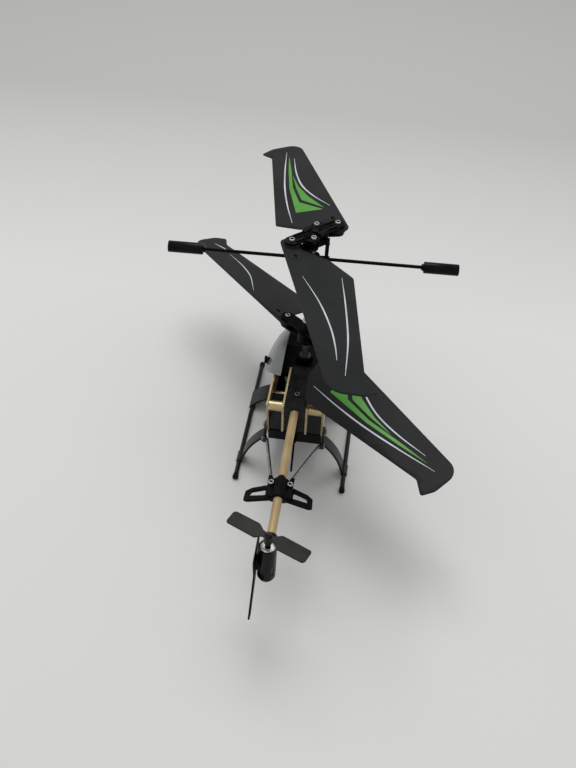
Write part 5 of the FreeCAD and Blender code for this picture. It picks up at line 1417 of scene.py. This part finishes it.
    def build(self) -> None:
        """Builds the blade and sets it on its hinge."""
        piece = self.sheet()
        half, radius, soft = self.pad_half, self.pad_radius, self.pad_edge
        pad, hole = bmesh.new(), bmesh.new()
        rings = (Ring(-half, radius - soft), Ring(-half + soft, radius), Ring(half - soft, radius),
                 Ring(half, radius - soft))
        turn_rings(pad, rings, Vector(), UP)
        joined(piece, pad, Join.ADD)
        rings = (Ring(-self.hole_reach, self.hole_radius), Ring(self.hole_reach, self.hole_radius))
        turn_rings(hole, rings, Vector(), UP, 24)
        joined(piece, hole, Join.CUT)
        hinge = Vector(JOINTS[f"{self.node}_fold"]["pos_m"])
        place = Matrix.Translation(hinge) @ Matrix.Rotation(math.radians(self.azimuth), 4, "Z")
        settled(piece, place, self.sharp)
        self.stand_in(self.node, piece, self.plastic())


@dataclass
class Tail(Assembly):
    """The tail boom, its clamp, stabiliser, braces, motor pod, rotor and fin."""

    moulding_round: float = 0.2 * MM
    rim_round: float = 0.4 * MM
    boss_high: float = 0.45 * MM
    eye_length: float = 4.6 * MM

    def strut(self, node: str) -> None:
        """Builds one brace: a bright rod between two dark eyes.

        Args:
            node: The CAD node that it stands for.
        """
        shape = softened(node, 0.12 * MM)
        front = min(corner.co.y for corner in shape.verts) + self.eye_length
        rear = max(corner.co.y for corner in shape.verts) - self.eye_length
        for face in shape.faces:
            face.material_index = 0 if front < face.calc_center_median().y < rear else 1
        piece = paint(smooth_piece(f"{node}_piece", shape), STEEL, BLACK_METAL)
        self.even(self.stand_in(node, piece, STEEL))

    def motor(self) -> None:
        """Builds the tail motor: a can with a rolled rim and a bush on its end, painted dark as the shadow of the
        rotor hub.
        """
        low, high = map(Vector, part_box("tail_motor"))
        radius = (high.x - low.x) / 2
        length = high.z - low.z
        soft, boss = self.rim_round, self.boss_high
        rings = (Ring(0.0, radius - soft), Ring(soft, radius), Ring(length - soft, radius),
                 Ring(length - soft * 0.3, radius - soft * 0.3), Ring(length, radius - soft),
                 Ring(length, radius * 0.4), Ring(length + boss * 0.8, radius * 0.38),
                 Ring(length + boss, radius * 0.32))
        shape = bmesh.new()
        foot = Vector(((low.x + high.x) / 2, (low.y + high.y) / 2, low.z))
        # The bush takes gloss black as painted shadow from the rotor hub above it.
        turn_rings(shape, rings, foot, UP, inside=5)
        piece = paint(closed_piece("tail_motor_piece", shape), MOTOR_CAN, GLOSS_PLASTIC)
        self.stand_in("tail_motor", piece, MOTOR_CAN)

    def build(self) -> None:
        """Builds everything behind the fuselage."""
        self.soften("tail_boom", BOOM_GOLD, 0.15 * MM)
        clamp = smooth_piece("stabiliser_clamp_piece", welded("stabiliser_clamp"))
        self.stand_in("stabiliser_clamp", clamp, BLACK_PLASTIC)
        self.soften("stabiliser", BLACK_PLASTIC, 0.3 * MM)
        for side in SIDES:
            self.strut(f"{side}_strut")
        self.soften("tail_motor_holder", GLOSS_PLASTIC, self.moulding_round)
        self.motor()
        self.soften_rows(("tail_rotor", TAIL_PLASTIC, self.moulding_round),
                         ("tail_fin", BLACK_PLASTIC, self.moulding_round))


@dataclass
class Canopy(Assembly):
    """The two canopy shells, their grommets and the posts that carry them."""

    shell_round: float = 0.15 * MM
    shell_turn: float = 50.0

    def build(self) -> None:
        """Builds the shells and what holds them."""
        for side in SIDES:
            self.soften(f"canopy_{side}", CANOPY_PAINT, self.shell_round, self.shell_turn)
        self.soften_rows(("canopy_grommets", RUBBER, 0.4 * MM), ("canopy_posts", STEEL, 0.15 * MM))


@dataclass
class Studio:
    """The floor, the lamps and the camera.

    Attributes:
        eye: Where the camera stands.
        gaze: The direction that it looks in.
        roll: How far it is rolled, in degrees.
        lens: Its focal length in millimetres, on a 36 mm sensor.
    """

    eye: Vector = field(default_factory=lambda: Vector((-0.0329, 0.4581, 0.4454)))
    gaze: Vector = field(default_factory=lambda: Vector((0.0663, -0.7603, -0.6461)))
    roll: float = -3.94
    lens: float = 46.89
    floor_half: float = 6.0
    floor_light: Colour = tone(212, 212, 210)
    floor_drift: Colour = tone(209, 209, 208)
    floor_far_shade: Colour = tone(178, 178, 177)
    room_colour: Colour = tone(206, 206, 205)
    sky_strength: float = 0.66
    lamp_place: tuple[float, float, float] = (0.04, -0.42, 1.25)
    lamp_size: float = 0.8
    lamp_power: float = 8.4

    def floor(self) -> None:
        """Lays a pale floor with painted shade towards its far end."""
        shape = bmesh.new()
        bmesh.ops.create_grid(shape, x_segments=4, y_segments=4, size=self.floor_half)
        piece = smooth_piece("floor", shape)
        finish = FloorPaper("pale floor", "black_plastic", self.floor_light, self.floor_drift, roughness=0.85,
                            gloss=0.1, cloud=0.5, grain_size=2 * MM, grain_depth=0.01 * MM,
                            far=self.floor_far_shade)
        paint(piece, finish)

    def lamp(self) -> None:
        """Hangs a soft square lamp that faces the model."""
        light = bpy.data.lights.new("overhead_lamp", "AREA")
        light.shape = "SQUARE"
        light.size = self.lamp_size
        light.energy = self.lamp_power
        lamp = bpy.data.objects.new("overhead_lamp", light)
        lamp.location = self.lamp_place
        lamp.rotation_euler = (-lamp.location).to_track_quat("-Z", "Y").to_euler()
        bpy.context.scene.collection.objects.link(lamp)

    def sky(self) -> None:
        """Fills the room with plain light, and shows a pale room in reflections and behind the floor."""
        world = bpy.data.worlds.new("room")
        bpy.context.scene.world = world
        world.use_nodes = True
        tree = world.node_tree
        light = tree.nodes["Background"]
        light.inputs["Color"].default_value = (1.0, 1.0, 1.0, 1.0)
        light.inputs["Strength"].default_value = self.sky_strength
        seen = tree.nodes.new("ShaderNodeBackground")
        seen.inputs["Color"].default_value = self.room_colour
        rays = tree.nodes.new("ShaderNodeLightPath")
        share = rays.outputs["Is Camera Ray"]
        for ray in ("Is Glossy Ray", "Is Transmission Ray"):
            total = tree.nodes.new("ShaderNodeMath")
            tree.links.new(share, total.inputs[0])
            tree.links.new(rays.outputs[ray], total.inputs[1])
            share = total.outputs[0]
        mix = tree.nodes.new("ShaderNodeMixShader")
        tree.links.new(share, mix.inputs[0])
        tree.links.new(light.outputs[0], mix.inputs[1])
        tree.links.new(seen.outputs[0], mix.inputs[2])
        tree.links.new(mix.outputs[0], tree.nodes["World Output"].inputs["Surface"])

    def camera(self) -> None:
        """Sets the camera up."""
        data = bpy.data.cameras.new("camera")
        data.lens = self.lens
        data.sensor_width = 36.0
        data.sensor_fit = "AUTO"
        data.clip_start = 0.01
        camera = bpy.data.objects.new("camera", data)
        ahead = self.gaze.normalized()
        level = ahead.cross(UP).normalized()
        down = ahead.cross(level)
        angle = math.radians(self.roll)
        right = math.cos(angle) * level + math.sin(angle) * down
        up = right.cross(ahead)
        camera.matrix_world = Matrix.Translation(self.eye) @ Matrix((right, up, -ahead)).transposed().to_4x4()
        bpy.context.scene.collection.objects.link(camera)
        bpy.context.scene.camera = camera

    def build(self) -> None:
        """Builds the whole studio."""
        self.floor()
        self.sky()
        self.lamp()
        self.camera()
        bpy.context.scene.view_settings.view_transform = "Standard"


def main() -> None:
    """Builds the helicopter's looks around its frame."""
    logging.basicConfig(level=logging.INFO, format="%(message)s")
    blades = (
        Blade("upper_blade_a", -69.6, 1, 13.5, True),
        Blade("upper_blade_b", 109.2, 1, 13.5, False,
              long_line=((25, 23.4), (47.2, 19.7), (70.8, 15.1), (85.7, 11.3), (105.6, 5.0)),
              short_line=((28.4, 0.2), (50, 4.8), (69.7, 6.1), (84.1, 5.1), (94.6, 3.4))),
        Blade("lower_blade_a", -51.6, -1, 17.0, False,
              long_line=((95, 11.6), (99, 10.5), (103.6, 9.1), (110, 6.6)),
              short_line=((40, -1.5), (57.2, 6.2), (66.4, 8.6), (77.2, 9.7), (92, 9.3))),
        Blade("lower_blade_b", 130.7, -1, 17.0, True),
    )
    Studio().build()
    for assembly in (LandingGear(), SideFrames(), Fuselage(), DriveTrain(), RotorHeads(), Flybar(), *blades,
                     Tail(), Canopy()):
        assembly.build()
        assembly.report()


if __name__ == "__main__":
    main()
